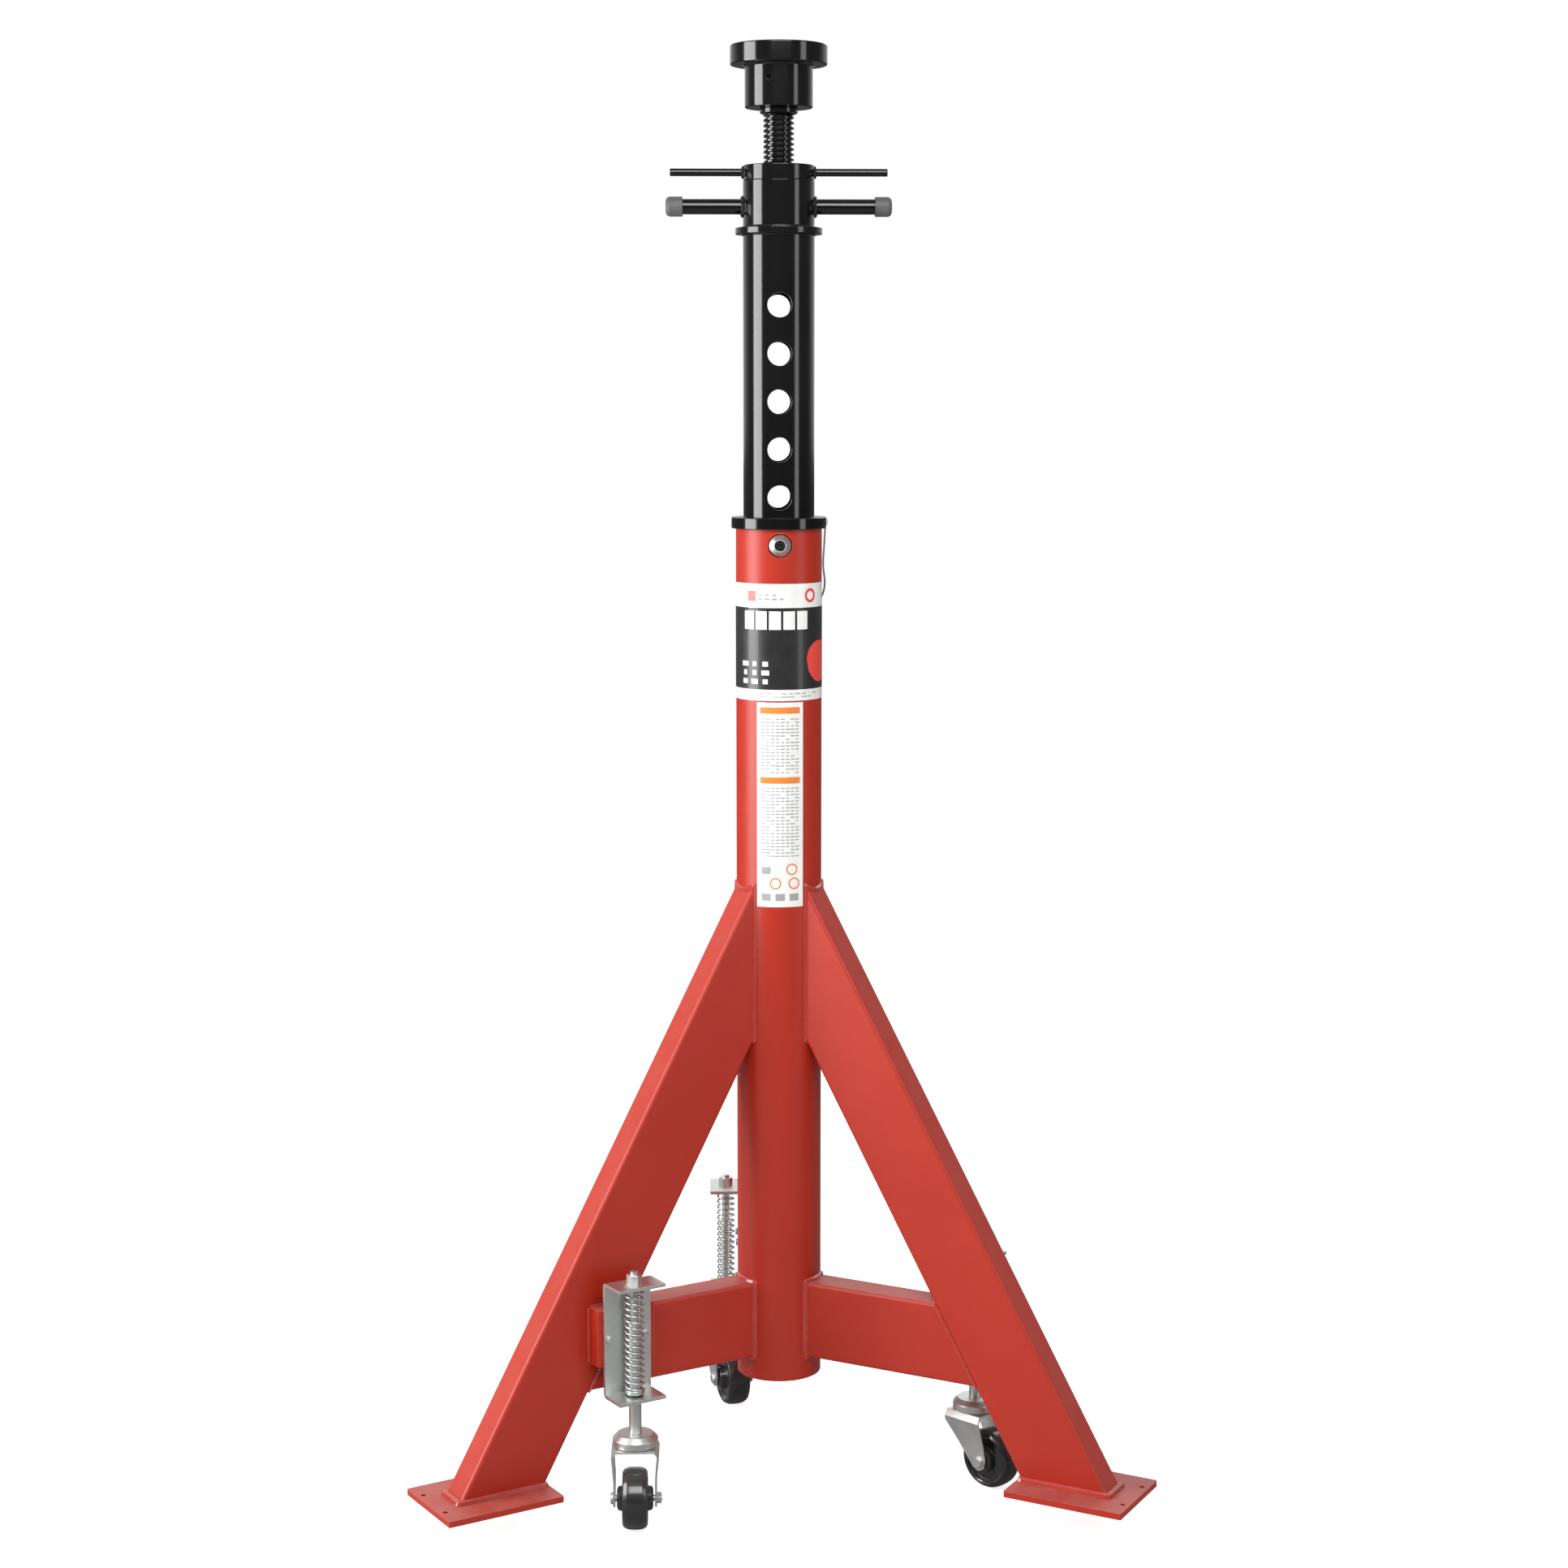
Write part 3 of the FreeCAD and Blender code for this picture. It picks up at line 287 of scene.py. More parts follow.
def new_material(name, roughness, metallic=0.0, **settings):
    material = bpy.data.materials.new(name)
    material.use_nodes = True
    surface = material.node_tree.nodes["Principled BSDF"]
    surface.inputs["Roughness"].default_value = roughness
    surface.inputs["Metallic"].default_value = metallic
    for label, size in settings.items():
        surface.inputs[label.replace("_", " ")].default_value = size
    return material, material.node_tree, surface


def use_group(tree, group, **sizes):
    node = tree.nodes.new("ShaderNodeGroup")
    node.node_tree = group
    for label, size in sizes.items():
        node.inputs[label].default_value = size
    return node.outputs


def blend_colours(tree, mask, below, above):
    """Mix two colours, each a socket or a colour, by a mask."""
    below, above = ((*item, 1) if isinstance(item, tuple) else item for item in (below, above))
    return add_node(tree, "ShaderNodeMix", data_type="RGBA", Factor=mask, A=below,
                    B=above).outputs["Result"]


def spread(tree, socket, low, high):
    """Map a 0 to 1 value onto a range."""
    return add_node(tree, "ShaderNodeMapRange", To_Min=low, To_Max=high,
                    Value=socket).outputs["Result"]


def finish_surface(tree, surface, skin, colour, rough, depth):
    """Give a surface its colour, its roughness (a socket, or a range that the skin's tone
    runs over) and the skin's height as a bump."""
    if isinstance(rough, tuple):
        rough = spread(tree, skin["Tone"], *rough)
    feed(surface.inputs["Base Color"], colour)
    feed(surface.inputs["Roughness"], rough)
    bump = add_node(tree, "ShaderNodeBump", Distance=depth, Strength=1.0,
                    Height=skin["Height"])
    feed(surface.inputs["Normal"], bump.outputs["Normal"])


def worn_and_highlit_tone(tree, skin, dark, light, wear_and_highlight_colour, dust=None, film=(0.4, 0.38, 0.36), **edge):
    """A drifting tone with lighter edges, which are wear and on the red enamels also a painted
    highlight, and, where given, dust on top; both the colour and the dust's mask are returned."""
    edges = use_group(tree, EDGE_WEAR_AND_HIGHLIGHT, **edge)
    tone = blend_colours(tree, skin["Tone"], dark, light)
    edged = blend_colours(tree, edges["Mask"], tone, wear_and_highlight_colour)
    if dust is None:
        return edged, None
    mask = use_group(tree, DUST, Amount=dust)["Mask"]
    return blend_colours(tree, mask, edged, film), mask


def enamel(name, dark, light, wear_and_highlight_colour, rough, coat=0.0, coat_rough=0.05, index=1.56,
           peel=0.00002, wear_and_highlight_band=0.0009, dust=0.25, dull=0.5):
    """Sprayed enamel: drifting tone, orange peel, lighter edges (wear, and on the red enamels a
    painted highlight too), dulling dust on top.
    """
    material, tree, surface = new_material(name, rough[0], Coat_Weight=coat,
                                           Coat_Roughness=coat_rough, IOR=index)
    skin = use_group(tree, ORANGE_PEEL)
    colour, mask = worn_and_highlit_tone(tree, skin, dark, light, wear_and_highlight_colour, dust, (0.55, 0.52, 0.49),
                             Width=wear_and_highlight_band)
    dulled = calc(tree, "MULTIPLY_ADD", mask, dull, spread(tree, skin["Tone"], *rough),
                  clamp=True)
    finish_surface(tree, surface, skin, colour, dulled, peel)
    return material


def plated(name, dark, light, rough, cloud=60.0, grain=0.00001):
    """Plated or bare metal with a cloudy tone and fine drawn lines."""
    material, tree, surface = new_material(name, rough[0], metallic=1.0)
    skin = use_group(tree, ZINC_SPANGLE, Cloud=cloud)
    bright = tuple(min(1.0, part * 1.12) for part in light)
    colour, _ = worn_and_highlit_tone(tree, skin, dark, light, bright, Width=0.0006, Breakup=300.0)
    finish_surface(tree, surface, skin, colour, rough, grain)
    return material


def moulded(name, dark, light, rough, grain=900.0, depth=0.00003, **settings):
    """Moulded plastic or rubber with a fine grain and scuffed edges."""
    material, tree, surface = new_material(name, rough[0], **settings)
    skin = use_group(tree, ORANGE_PEEL, Scale=grain, Drift=45.0)
    scuffed = tuple(part * 1.9 + 0.02 for part in light)
    colour, _ = worn_and_highlit_tone(tree, skin, dark, light, scuffed, 0.2, Width=0.0008,
                          Breakup=260.0)
    finish_surface(tree, surface, skin, colour, rough, depth)
    return material


def printed(name, low, high):
    """Vinyl film or ink on it: faint mottle and a slight sheen."""
    material, tree, surface = new_material(name, 0.35, Coat_Weight=0.25)
    skin = use_group(tree, ORANGE_PEEL, Scale=700.0, Drift=60.0)
    colour = blend_colours(tree, skin["Tone"], low, high)
    finish_surface(tree, surface, skin, colour, (0.3, 0.46), 0.000008)
    return material


def stranded_wire():
    """Twisted strands across a thin rope, drawn along its own UV map."""
    material, tree, surface = new_material("wire rope", 0.4, metallic=1.0)
    place = add_node(tree, "ShaderNodeTexCoord")
    twist = add_node(tree, "ShaderNodeMapping", Scale=(60.0, 3.0, 1.0),
                     Vector=place.outputs["UV"])
    wave = add_node(tree, "ShaderNodeTexWave", bands_direction="DIAGONAL", Scale=1.6,
                    Distortion=0.4, Vector=twist.outputs["Vector"]).outputs["Fac"]
    colour = blend_colours(tree, wave, (0.16, 0.16, 0.17), (0.62, 0.62, 0.63))
    finish_surface(tree, surface, {"Tone": wave, "Height": wave}, colour, (0.5, 0.28), 0.0003)
    return material


# Red enamel's light edge colour is partly wear and partly a painted highlight along the legs'
# edges.
RED = enamel("red enamel", (0.37, 0.018, 0.006), (0.43, 0.024, 0.009), (0.66, 0.2, 0.13),
             rough=(0.34, 0.44), coat_rough=0.1, index=1.46, wear_and_highlight_band=0.0012)
# The weld enamel's light edge colour is a painted highlight of the beads' glossy sheen.
RED_WELD = enamel("red enamel on weld", (0.36, 0.016, 0.008), (0.46, 0.03, 0.014),
                  (0.72, 0.22, 0.17), rough=(0.15, 0.26), coat=0.5, coat_rough=0.08,
                  index=1.55, peel=0.00008, wear_and_highlight_band=0.001)
BLACK = enamel("gloss black enamel", (0.0025, 0.0025, 0.0025), (0.005, 0.005, 0.0048),
               (0.05, 0.05, 0.05), rough=(0.09, 0.15), peel=0.000012, wear_and_highlight_band=0.0005,
               dust=0.04, dull=10.0)
BLACK_WELD = enamel("black enamel on weld", (0.007, 0.007, 0.007), (0.014, 0.014, 0.014),
                    (0.06, 0.06, 0.06), rough=(0.12, 0.2), index=1.6, peel=0.00006,
                    wear_and_highlight_band=0.0004, dust=0.04)
ZINC = plated("bright zinc", (0.62, 0.65, 0.64), (0.8, 0.83, 0.8), (0.34, 0.5), grain=0.000004)
SPRING_ZINC = plated("zinc spring wire", (0.5, 0.51, 0.52), (0.7, 0.71, 0.72), (0.26, 0.38),
                     cloud=140.0, grain=0.000003)
BLACK_OXIDE = plated("black oxide steel", (0.03, 0.03, 0.031), (0.06, 0.06, 0.06),
                     (0.35, 0.5), cloud=220.0)
BEARING = plated("bearing steel", (0.5, 0.5, 0.5), (0.65, 0.65, 0.66), (0.12, 0.2))
CAP_PLASTIC = moulded("dark grey cap plastic", (0.075, 0.075, 0.078), (0.11, 0.11, 0.115),
                      (0.48, 0.62))
BUSH_PLASTIC = moulded("black bush plastic", (0.012, 0.012, 0.012), (0.025, 0.025, 0.025),
                       (0.35, 0.5))
WHEEL_BLACK = moulded("black wheel", (0.009, 0.009, 0.01), (0.02, 0.02, 0.021),
                      (0.16, 0.3), grain=500.0, depth=0.00001, Coat_Weight=0.5)
FILM_WHITE = printed("white label film", (0.78, 0.78, 0.76), (0.86, 0.86, 0.84))
INK_BLACK = printed("black ink", (0.012, 0.012, 0.012), (0.022, 0.022, 0.022))
INK_RED = printed("red ink", (0.72, 0.05, 0.035), (0.82, 0.075, 0.05))
INK_ORANGE = printed("orange ink", (0.75, 0.2, 0.03), (0.84, 0.26, 0.05))
INK_GREY = printed("grey ink", (0.3, 0.3, 0.3), (0.4, 0.4, 0.4))
WIRE = stranded_wire()


# --- mesh helpers ---

def smooth(mesh, angle=38):
    mesh.polygons.foreach_set("use_smooth", [True] * len(mesh.polygons))
    mesh.set_sharp_from_angle(angle=math.radians(angle))
    mesh.update()


def evaluated(obj):
    """The mesh of an object with its modifiers applied."""
    graph = bpy.context.evaluated_depsgraph_get()
    return bpy.data.meshes.new_from_object(obj.evaluated_get(graph))


def weight_normals(obj):
    """Let wide flat faces keep their own direction beside narrow rounded edges."""
    modifier = obj.modifiers.new("normals", "WEIGHTED_NORMAL")
    modifier.keep_sharp = True
    shaded = evaluated(obj)
    obj.modifiers.clear()
    obj.data = shaded


def add_piece(name, mesh, body, material, replaces=()):
    """Give a finished mesh its material and its body, and hide the CAD nodes it stands for."""
    obj = placed(name, mesh)
    if material is not None:
        mesh.materials.clear()
        mesh.materials.append(material)
    smooth(mesh)
    weight_normals(obj)
    if body is not None:
        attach(obj, body)
    if replaces:
        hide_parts(*replaces)
    return obj


def baked(obj):
    """The evaluated mesh of an object, which is removed."""
    mesh = evaluated(obj)
    mesh.name = obj.name
    bpy.data.objects.remove(obj)
    return mesh


def written(shape, name, matrix=None):
    """A new mesh from a bmesh, which is freed."""
    mesh = bpy.data.meshes.new(name)
    shape.to_mesh(mesh)
    shape.free()
    if matrix is not None:
        mesh.transform(matrix)
    return mesh


def sealed(shape, name, matrix=None):
    """The same for a closed skin, with its faces turned outwards first."""
    bmesh.ops.recalc_face_normals(shape, faces=shape.faces)
    return written(shape, name, matrix)


def shape_from(corners, faces, merge):
    """A bmesh of corners and faces, with corners closer than merge made one."""
    mesh = bpy.data.meshes.new("source")
    mesh.from_pydata(corners, [], faces)
    shape = bmesh.new()
    shape.from_mesh(mesh)
    bmesh.ops.remove_doubles(shape, verts=shape.verts, dist=merge)
    return shape


def ease_edges(obj, width, angle):
    """Bevel the edges that turn by more than an angle."""
    ease = obj.modifiers.new("ease", "BEVEL")
    ease.width = width * MM
    ease.segments = 2
    ease.limit_method = "ANGLE"
    ease.angle_limit = math.radians(angle)


def circle(steps, extra=0):
    """Angles at even steps round a circle."""
    return [2 * math.pi * step / steps for step in range(steps + extra)]


def heights(node):
    """The foot and the top of a CAD node in millimetres."""
    low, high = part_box(node)
    return low.z / MM, high.z / MM


def placed(name, mesh):
    """An object in the scene around some data."""
    obj = bpy.data.objects.new(name, mesh)
    bpy.context.scene.collection.objects.link(obj)
    return obj


def rounded(points, radius, steps=3):
    """Round the corners of a closed outline; corners on the axis stay sharp."""
    out = []
    count = len(points)
    for index, point in enumerate(points):
        here = Vector(point)
        before = Vector(points[index - 1]) - here
        after = Vector(points[(index + 1) % count]) - here
        if here.x <= 1e-6 or before.length < 1e-6 or after.length < 1e-6:
            out.append(tuple(here))
            continue
        turn = before.angle(after)
        reach = min(radius / math.tan(turn / 2), before.length * 0.45, after.length * 0.45)
        if turn > math.radians(170):
            out.append(tuple(here))
            continue
        start = here + before.normalized() * reach
        end = here + after.normalized() * reach
        for step in range(steps + 1):
            share = step / steps
            curve = start * (1 - share) ** 2 + here * 2 * share * (1 - share) + end * share**2
            out.append(tuple(curve))
    return out


def lathe(name, outline, radius=0.5, steps=96, matrix=None):
    """Turn a closed outline of (radius, height) in millimetres about Z."""
    shape = bmesh.new()
    rings = []
    for out, height in rounded(outline, radius):
        if out <= 1e-6:
            rings.append([shape.verts.new((0, 0, height * MM))])
            continue
        rings.append([
            shape.verts.new((out * MM * math.cos(t), out * MM * math.sin(t), height * MM))
            for t in circle(steps)
        ])
    for low, high in zip(rings, rings[1:] + rings[:1]):
        if len(low) == 1 and len(high) == 1:
            continue
        for step in range(steps):
            following = (step + 1) % steps
            corners = [low[step % len(low)], low[following % len(low)],
                       high[following % len(high)], high[step % len(high)]]
            shape.faces.new(dict.fromkeys(corners))
    return sealed(shape, name, matrix or UPRIGHT)


def bored(mesh, cutters, bevel=0.35):
    """Cut round holes, each (centre, direction, radius, length), and ease their edges."""
    solid = placed(mesh.name, mesh)
    tools = []
    for centre, direction, radius, length in cutters:
        shape = bmesh.new()
        bmesh.ops.create_cone(shape, cap_ends=True, segments=64, radius1=radius * MM,
                              radius2=radius * MM, depth=length * MM)
        turn = Vector((0, 0, 1)).rotation_difference(Vector(direction)).to_matrix().to_4x4()
        matrix = Matrix.Translation(centre) @ turn
        tool = placed("cutter", written(shape, "cutter", matrix))
        cut = solid.modifiers.new("cut", "BOOLEAN")
        cut.operation = "DIFFERENCE"
        cut.solver = "EXACT"
        cut.object = tool
        tools.append(tool)
    ease_edges(solid, bevel, 50)
    result = baked(solid)
    for tool in tools:
        bpy.data.objects.remove(tool)
    return result


def refine(node, material, bevel):
    """A piece copied from a CAD node, with merged points and eased edges."""
    source = nodes[node].data
    shape = shape_from([tuple(vertex.co) for vertex in source.vertices],
                       [tuple(face.vertices) for face in source.polygons], 2e-6)
    bmesh.ops.dissolve_limit(shape, angle_limit=math.radians(0.5), verts=shape.verts,
                             edges=shape.edges)
    obj = placed(node, written(shape, node))
    ease_edges(obj, bevel, 32)
    return add_piece(f"{node}.shell", baked(obj), nodes[node]["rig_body"], material,
                     [node])


# --- geometry node trees ---

def geometry_tree(name, inputs):
    geometry = {"Geometry": "NodeSocketGeometry"}
    return new_group("GeometryNodeTree", name,
                     {**geometry, **inputs, "Finish": "NodeSocketMaterial"}, geometry)


def finish_tree(tree, given, end, geometry):
    """Realise what the tree has made and give it its material."""
    realise = add_node(tree, "GeometryNodeRealizeInstances", geometry)
    paint = add_node(tree, "GeometryNodeSetMaterial", Geometry=realise.outputs[0],
                     Material=given["Finish"])
    feed(end.inputs[0], paint.outputs[0])
    return tree


def swept(tree, curve, radius, resolution):
    """A capped round tube along a curve."""
    profile = add_node(tree, "GeometryNodeCurvePrimitiveCircle", Resolution=resolution,
                       Radius=radius)
    return add_node(tree, "GeometryNodeCurveToMesh", Fill_Caps=True, Curve=curve,
                    Profile_Curve=profile.outputs["Curve"]).outputs[0]


def position(tree):
    """Where each point is, and the same as three numbers."""
    place = add_node(tree, "GeometryNodeInputPosition").outputs[0]
    return place, add_node(tree, "ShaderNodeSeparateXYZ", place).outputs


def moved(tree, geometry, x, y, z):
    """Geometry with its points set to new places."""
    join = add_node(tree, "ShaderNodeCombineXYZ", x, y, z)
    return add_node(tree, "GeometryNodeSetPosition", Geometry=geometry,
                    Position=join.outputs[0]).outputs[0]


def grown(name, tree, base=None, **sizes):
    """Run a tree on a base mesh, or on an empty one; a keyword has _ for a space."""
    obj = placed(name, base or bpy.data.meshes.new(name))
    modifier = obj.modifiers.new("grow", "NODES")
    modifier.node_group = tree
    for item in tree.interface.items_tree:
        label = item.name.replace(" ", "_")
        if item.in_out == "INPUT" and label in sizes:
            modifier[item.identifier] = sizes[label]
    return baked(obj)


def make_weld_tree():
    """A bead swept along the base mesh's edges, swollen at each ripple."""
    tree, given, end = geometry_tree("weld bead", {
        "Bead": 0.0025, "Ripple": 0.0022, "Depth": 0.16, "Unevenness": 0.5})
    line = add_node(tree, "GeometryNodeMeshToCurve", given["Geometry"])
    resample = add_node(tree, "GeometryNodeResampleCurve", mode="LENGTH",
                        Curve=line.outputs[0],
                        Length=calc(tree, "DIVIDE", given["Ripple"], 4.0))
    along = add_node(tree, "GeometryNodeSplineParameter")
    phase = calc(tree, "DIVIDE", along.outputs["Length"], given["Ripple"])
    wave = calc(tree, "SINE", calc(tree, "MULTIPLY", phase, 2 * math.pi))
    swell = calc(tree, "MULTIPLY", wave, given["Depth"])
    noise = noise_node(tree, position(tree)[0], 220.0, 2.0)
    drift = calc(tree, "MULTIPLY", calc(tree, "SUBTRACT", noise, 0.5),
                 given["Unevenness"])
    size = calc(tree, "ADD", calc(tree, "ADD", swell, drift), 1.0)
    width = add_node(tree, "GeometryNodeSetCurveRadius", Curve=resample.outputs[0],
                     Radius=size)
    return finish_tree(tree, given, end, swept(tree, width.outputs[0], given["Bead"], 8))


def make_spring_tree():
    """A compression spring with closed, flat end turns."""
    tree, given, end = geometry_tree("spring", {
        "Turns": 17.5, "Coil": 0.011, "Wire": 0.0015, "Height": 0.13, "Flat share": 0.05})
    spiral = add_node(tree, "GeometryNodeCurveSpiral", Resolution=40,
                      Rotations=given["Turns"], Start_Radius=given["Coil"],
                      End_Radius=given["Coil"], Height=given["Height"])
    spot = position(tree)[1]
    share = calc(tree, "DIVIDE", spot["Z"], given["Height"])
    rise = add_node(tree, "ShaderNodeMapRange", Value=share, From_Min=given["Flat share"],
                    From_Max=calc(tree, "SUBTRACT", 1.0, given["Flat share"]),
                    To_Min=given["Wire"],
                    To_Max=calc(tree, "SUBTRACT", given["Height"], given["Wire"]))
    coil = moved(tree, spiral.outputs[0], spot["X"], spot["Y"], rise.outputs["Result"])
    return finish_tree(tree, given, end, swept(tree, coil, given["Wire"], 12))


def make_rows_tree():
    """Rows of short plain bars laid on the front of a cylinder, like lines of print."""
    tree, given, end = geometry_tree("print rows", {
        "Rows": 10, "Row pitch": 0.004, "Bars": 7, "Width": 0.045, "Bar height": 0.0013,
        "Centre": 0.0, "Foot": 1.0, "Radius": 0.0544, "Fill": 0.9, "Seed": 1})
    shortest, longest, thickness = 0.55, 1.1, 0.00006

    def times(first, second):
        return calc(tree, "MULTIPLY", first, second)

    def plus(first, second):
        return calc(tree, "ADD", first, second)

    tall = times(given["Row pitch"], calc(tree, "SUBTRACT", given["Rows"], 1.0))
    grid = add_node(tree, "GeometryNodeMeshGrid", Size_X=given["Width"], Size_Y=tall,
                    Vertices_X=given["Bars"], Vertices_Y=given["Rows"])
    keep = add_node(tree, "FunctionNodeRandomValue", data_type="BOOLEAN",
                    Probability=given["Fill"], Seed=given["Seed"])
    length = add_node(tree, "FunctionNodeRandomValue", Seed=given["Seed"])
    gap = calc(tree, "DIVIDE", given["Width"], given["Bars"])
    feed(length.inputs[2], times(gap, shortest))
    feed(length.inputs[3], times(gap, longest))
    scale = add_node(tree, "ShaderNodeCombineXYZ", length.outputs[1], given["Bar height"],
                     thickness)
    bar = add_node(tree, "GeometryNodeMeshCube", Size=(1, 1, 1), Vertices_X=4)
    bars = add_node(tree, "GeometryNodeInstanceOnPoints", Points=grid.outputs["Mesh"],
                    Selection=keep.outputs[3], Instance=bar.outputs["Mesh"],
                    Scale=scale.outputs[0])
    real = add_node(tree, "GeometryNodeRealizeInstances", bars.outputs[0])
    spot = position(tree)[1]
    angle = calc(tree, "DIVIDE", plus(spot["X"], given["Centre"]), given["Radius"])
    out = plus(given["Radius"], spot["Z"])
    rise = plus(plus(spot["Y"], given["Foot"]), times(tall, 0.5))
    bent = moved(tree, real.outputs[0], times(out, calc(tree, "SINE", angle)),
                 times(times(out, calc(tree, "COSINE", angle)), -1.0), rise)
    return finish_tree(tree, given, end, bent)


WELD_TREE = make_weld_tree()
SPRING_TREE = make_spring_tree()
ROWS_TREE = make_rows_tree()


# --- post and mast ---

def post_point(height):
    return POST + Vector((0, 0, height * MM))


def tube(name, node, radius, wall, holes, length):
    """A lathed tube as tall as a CAD node, bored along Y at each of some heights."""
    inner = radius - wall
    foot, top = heights(node)
    shell = lathe(name, [(inner, foot), (radius, foot), (radius, top), (inner, top)], 0.8,
                  steps=128)
    return bored(shell, [(post_point(height), (0, 1, 0), HOLE_RADIUS, length)
                         for height in holes])


def make_post():
    mesh = tube("post", "outer_tube", POST_RADIUS, POST_WALL, [PIN_HEIGHT], 130)
    add_piece("post_tube", mesh, "base", RED, ["outer_tube"])


def make_mast():
    holes = [PIN_HEIGHT + step * HOLE_PITCH for step in range(-1, 6)]
    mesh = tube("mast", "mast_tube", MAST_RADIUS, MAST_WALL, holes, 110)
    add_piece("mast", mesh, "mast", BLACK, ["mast_tube"])


def make_handle_caps():
    """Push-on caps with a domed end, a small lip and a blind bore."""
    foot, top = heights("handle_caps")
    height, radius = (foot + top) / 2, (top - foot) / 2
    end = (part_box("handle_caps")[1].x - POST.x) / MM
    mouth, floor, bore = 119.0, 137.2, 9.55
    caps = []
    for turn in (90, -90):
        matrix = Matrix.Translation(post_point(height)) @ Matrix.Rotation(
            math.radians(turn), 4, "Y")
        outline = [(bore, mouth), (radius, mouth), (radius, end - 4.5), (radius - 1.6, end - 1.4),
                   (radius - 5, end), (0, end), (0, floor), (bore, floor)]
        caps.append(lathe("cap", outline, 0.9, steps=64, matrix=matrix))
    add_piece("grip_caps", joined("caps", caps), "mast", CAP_PLASTIC,
              ["handle_caps"])


def make_rings():
    foot, top = heights("stop_ring")
    inner = MAST_RADIUS + 0.05
    add_piece("mast_stop_ring", lathe("stop", [
        (inner, foot), (POST_RADIUS, foot), (POST_RADIUS, top), (inner, top)], 0.9),
        "mast", BLACK, ["stop_ring"])


def make_saddle():
    foot, top = heights("saddle")
    step, body, cap, socket = top - 24, 42, 60, 15
    shell = lathe("saddle_body", [
        (socket, foot), (body, foot), (body, step - 2.5), (body + 2.5, step), (cap, step),
        (cap, top), (0, top), (0, foot + 40), (socket, foot + 40),
    ], 1.6, steps=128)
    bearing, hole_height, hole_out = math.radians(-108.5), 1772, 30 * MM
    out = Vector((math.cos(bearing), math.sin(bearing), 0))
    centre = post_point(hole_height) + out * hole_out
    add_piece("saddle_cap", bored(shell, [(centre, out, 4.05, 40)]), "screw", BLACK,
              ["saddle"])


def make_load_nut():
    foot, top = heights("load_nut")
    face = heights("mast_tube")[1] + 0.05
    bore, spigot, rim = 19.1, 36.05, NUT_RADIUS
    add_piece("round_load_nut", lathe("nut", [
        (bore, foot), (spigot, foot), (spigot, face), (rim, face), (rim, top),
        (bore, top),
    ], 1.1), "nut", BLACK, ["load_nut"])


def thread_mesh(name, root, crest, pitch, low, high, turn_steps=72):
    """A single-start trapezoid thread between two heights, as one closed skin."""
    shape_of_turn = [(0.0, crest), (0.34, crest), (0.52, root), (0.84, root)]
    rows = (math.ceil((high - low) / pitch) + 2) * len(shape_of_turn)
    verts = []
    for row in range(rows):
        turn, index = divmod(row, len(shape_of_turn))
        share, radius = shape_of_turn[index]
        for step, angle in enumerate(circle(turn_steps, 1)):
            rise = low + (turn - 1 + share + step / turn_steps) * pitch
            height = min(max(rise, low), high)
            verts.append((radius * MM * math.cos(angle), radius * MM * math.sin(angle),
                          height * MM))
    width = turn_steps + 1
    faces = []
    for row in range(rows - 1):
        for step in range(turn_steps):
            corner = row * width + step
            faces.append((corner, corner + 1, corner + width + 1, corner + width))
    shape = shape_from(verts, faces, 1e-6)
    flat = [face for face in shape.faces if face.calc_area() < 1e-12]
    bmesh.ops.delete(shape, geom=flat, context="FACES_ONLY")
    rims = [edge for edge in shape.edges if edge.is_boundary]
    bmesh.ops.holes_fill(shape, edges=rims, sides=0)
    return sealed(shape, name, UPRIGHT)


def joined(name, meshes):
    """One mesh from several closed ones."""
    shape = bmesh.new()
    for mesh in meshes:
        shape.from_mesh(mesh)
    return written(shape, name)


def make_screw():
    foot, top = heights("lift_screw")
    shoulder = heights("saddle")[0]
    root, crest, pitch = 15.85, 19.0, 6.35
    thread = thread_mesh("thread", root, crest, pitch, foot + 1, shoulder - 6.5)
    neck = lathe("neck", [
        (0, shoulder - 10), (15.8, shoulder - 10), (17.5, shoulder - 9), (23.5, shoulder - 6),
        (23.5, shoulder - 0.05), (14.95, shoulder - 0.05), (14.95, top), (0, top),
    ], 0.6)
    add_piece("acme_screw", joined("screw", [thread, neck]), "screw", BLACK,
              ["lift_screw"])


def make_pin():
    """The pin lies along Y, its bevelled nose just proud of the post's front."""
    axis = Matrix.Translation(post_point(PIN_HEIGHT)) @ Matrix.Rotation(-math.pi / 2, 4, "X")
    low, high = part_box("locking_pin")
    nose, tail = (low.y - POST.y) / MM, (high.y - POST.y) / MM
    shaft, flange, front, back = 14.3, 20, 54.3, 60.3
    mesh = lathe("pin", [
        (0, nose + 4), (6.6, nose + 4), (6.8, nose), (7.7, nose), (shaft, nose + 6.8),
        (shaft, front), (flange, front), (flange, back), (shaft, back), (shaft, tail - 2),
        (shaft - 2, tail), (0, tail),
    ], 0.25, matrix=axis)
    bar_at, bar_radius, bar_length = Vector((0, 0.075, 0)), 6.4, 60
    hole = (post_point(PIN_HEIGHT) + bar_at, (1, 0, 0), bar_radius, bar_length)
    add_piece("pin_shaft", bored(mesh, [hole], 0.3), "pin", ZINC,
              ["locking_pin"])
    # A near-black lining sits in the recess of the pin's nose and darkens its centre.
    add_piece("pin_nose_face", lathe("nose_face", [
        (0, nose + 3.4), (1.4, nose + 2.9), (2.1, nose + 1.0), (6.1, nose + 1.0),
        (6.5, nose + 1.5), (6.5, nose + 3.95), (0, nose + 3.95),
    ], 0.2, steps=64, matrix=axis), "pin", BLACK_OXIDE)
    refine("pin_handle", ZINC, 0.3)


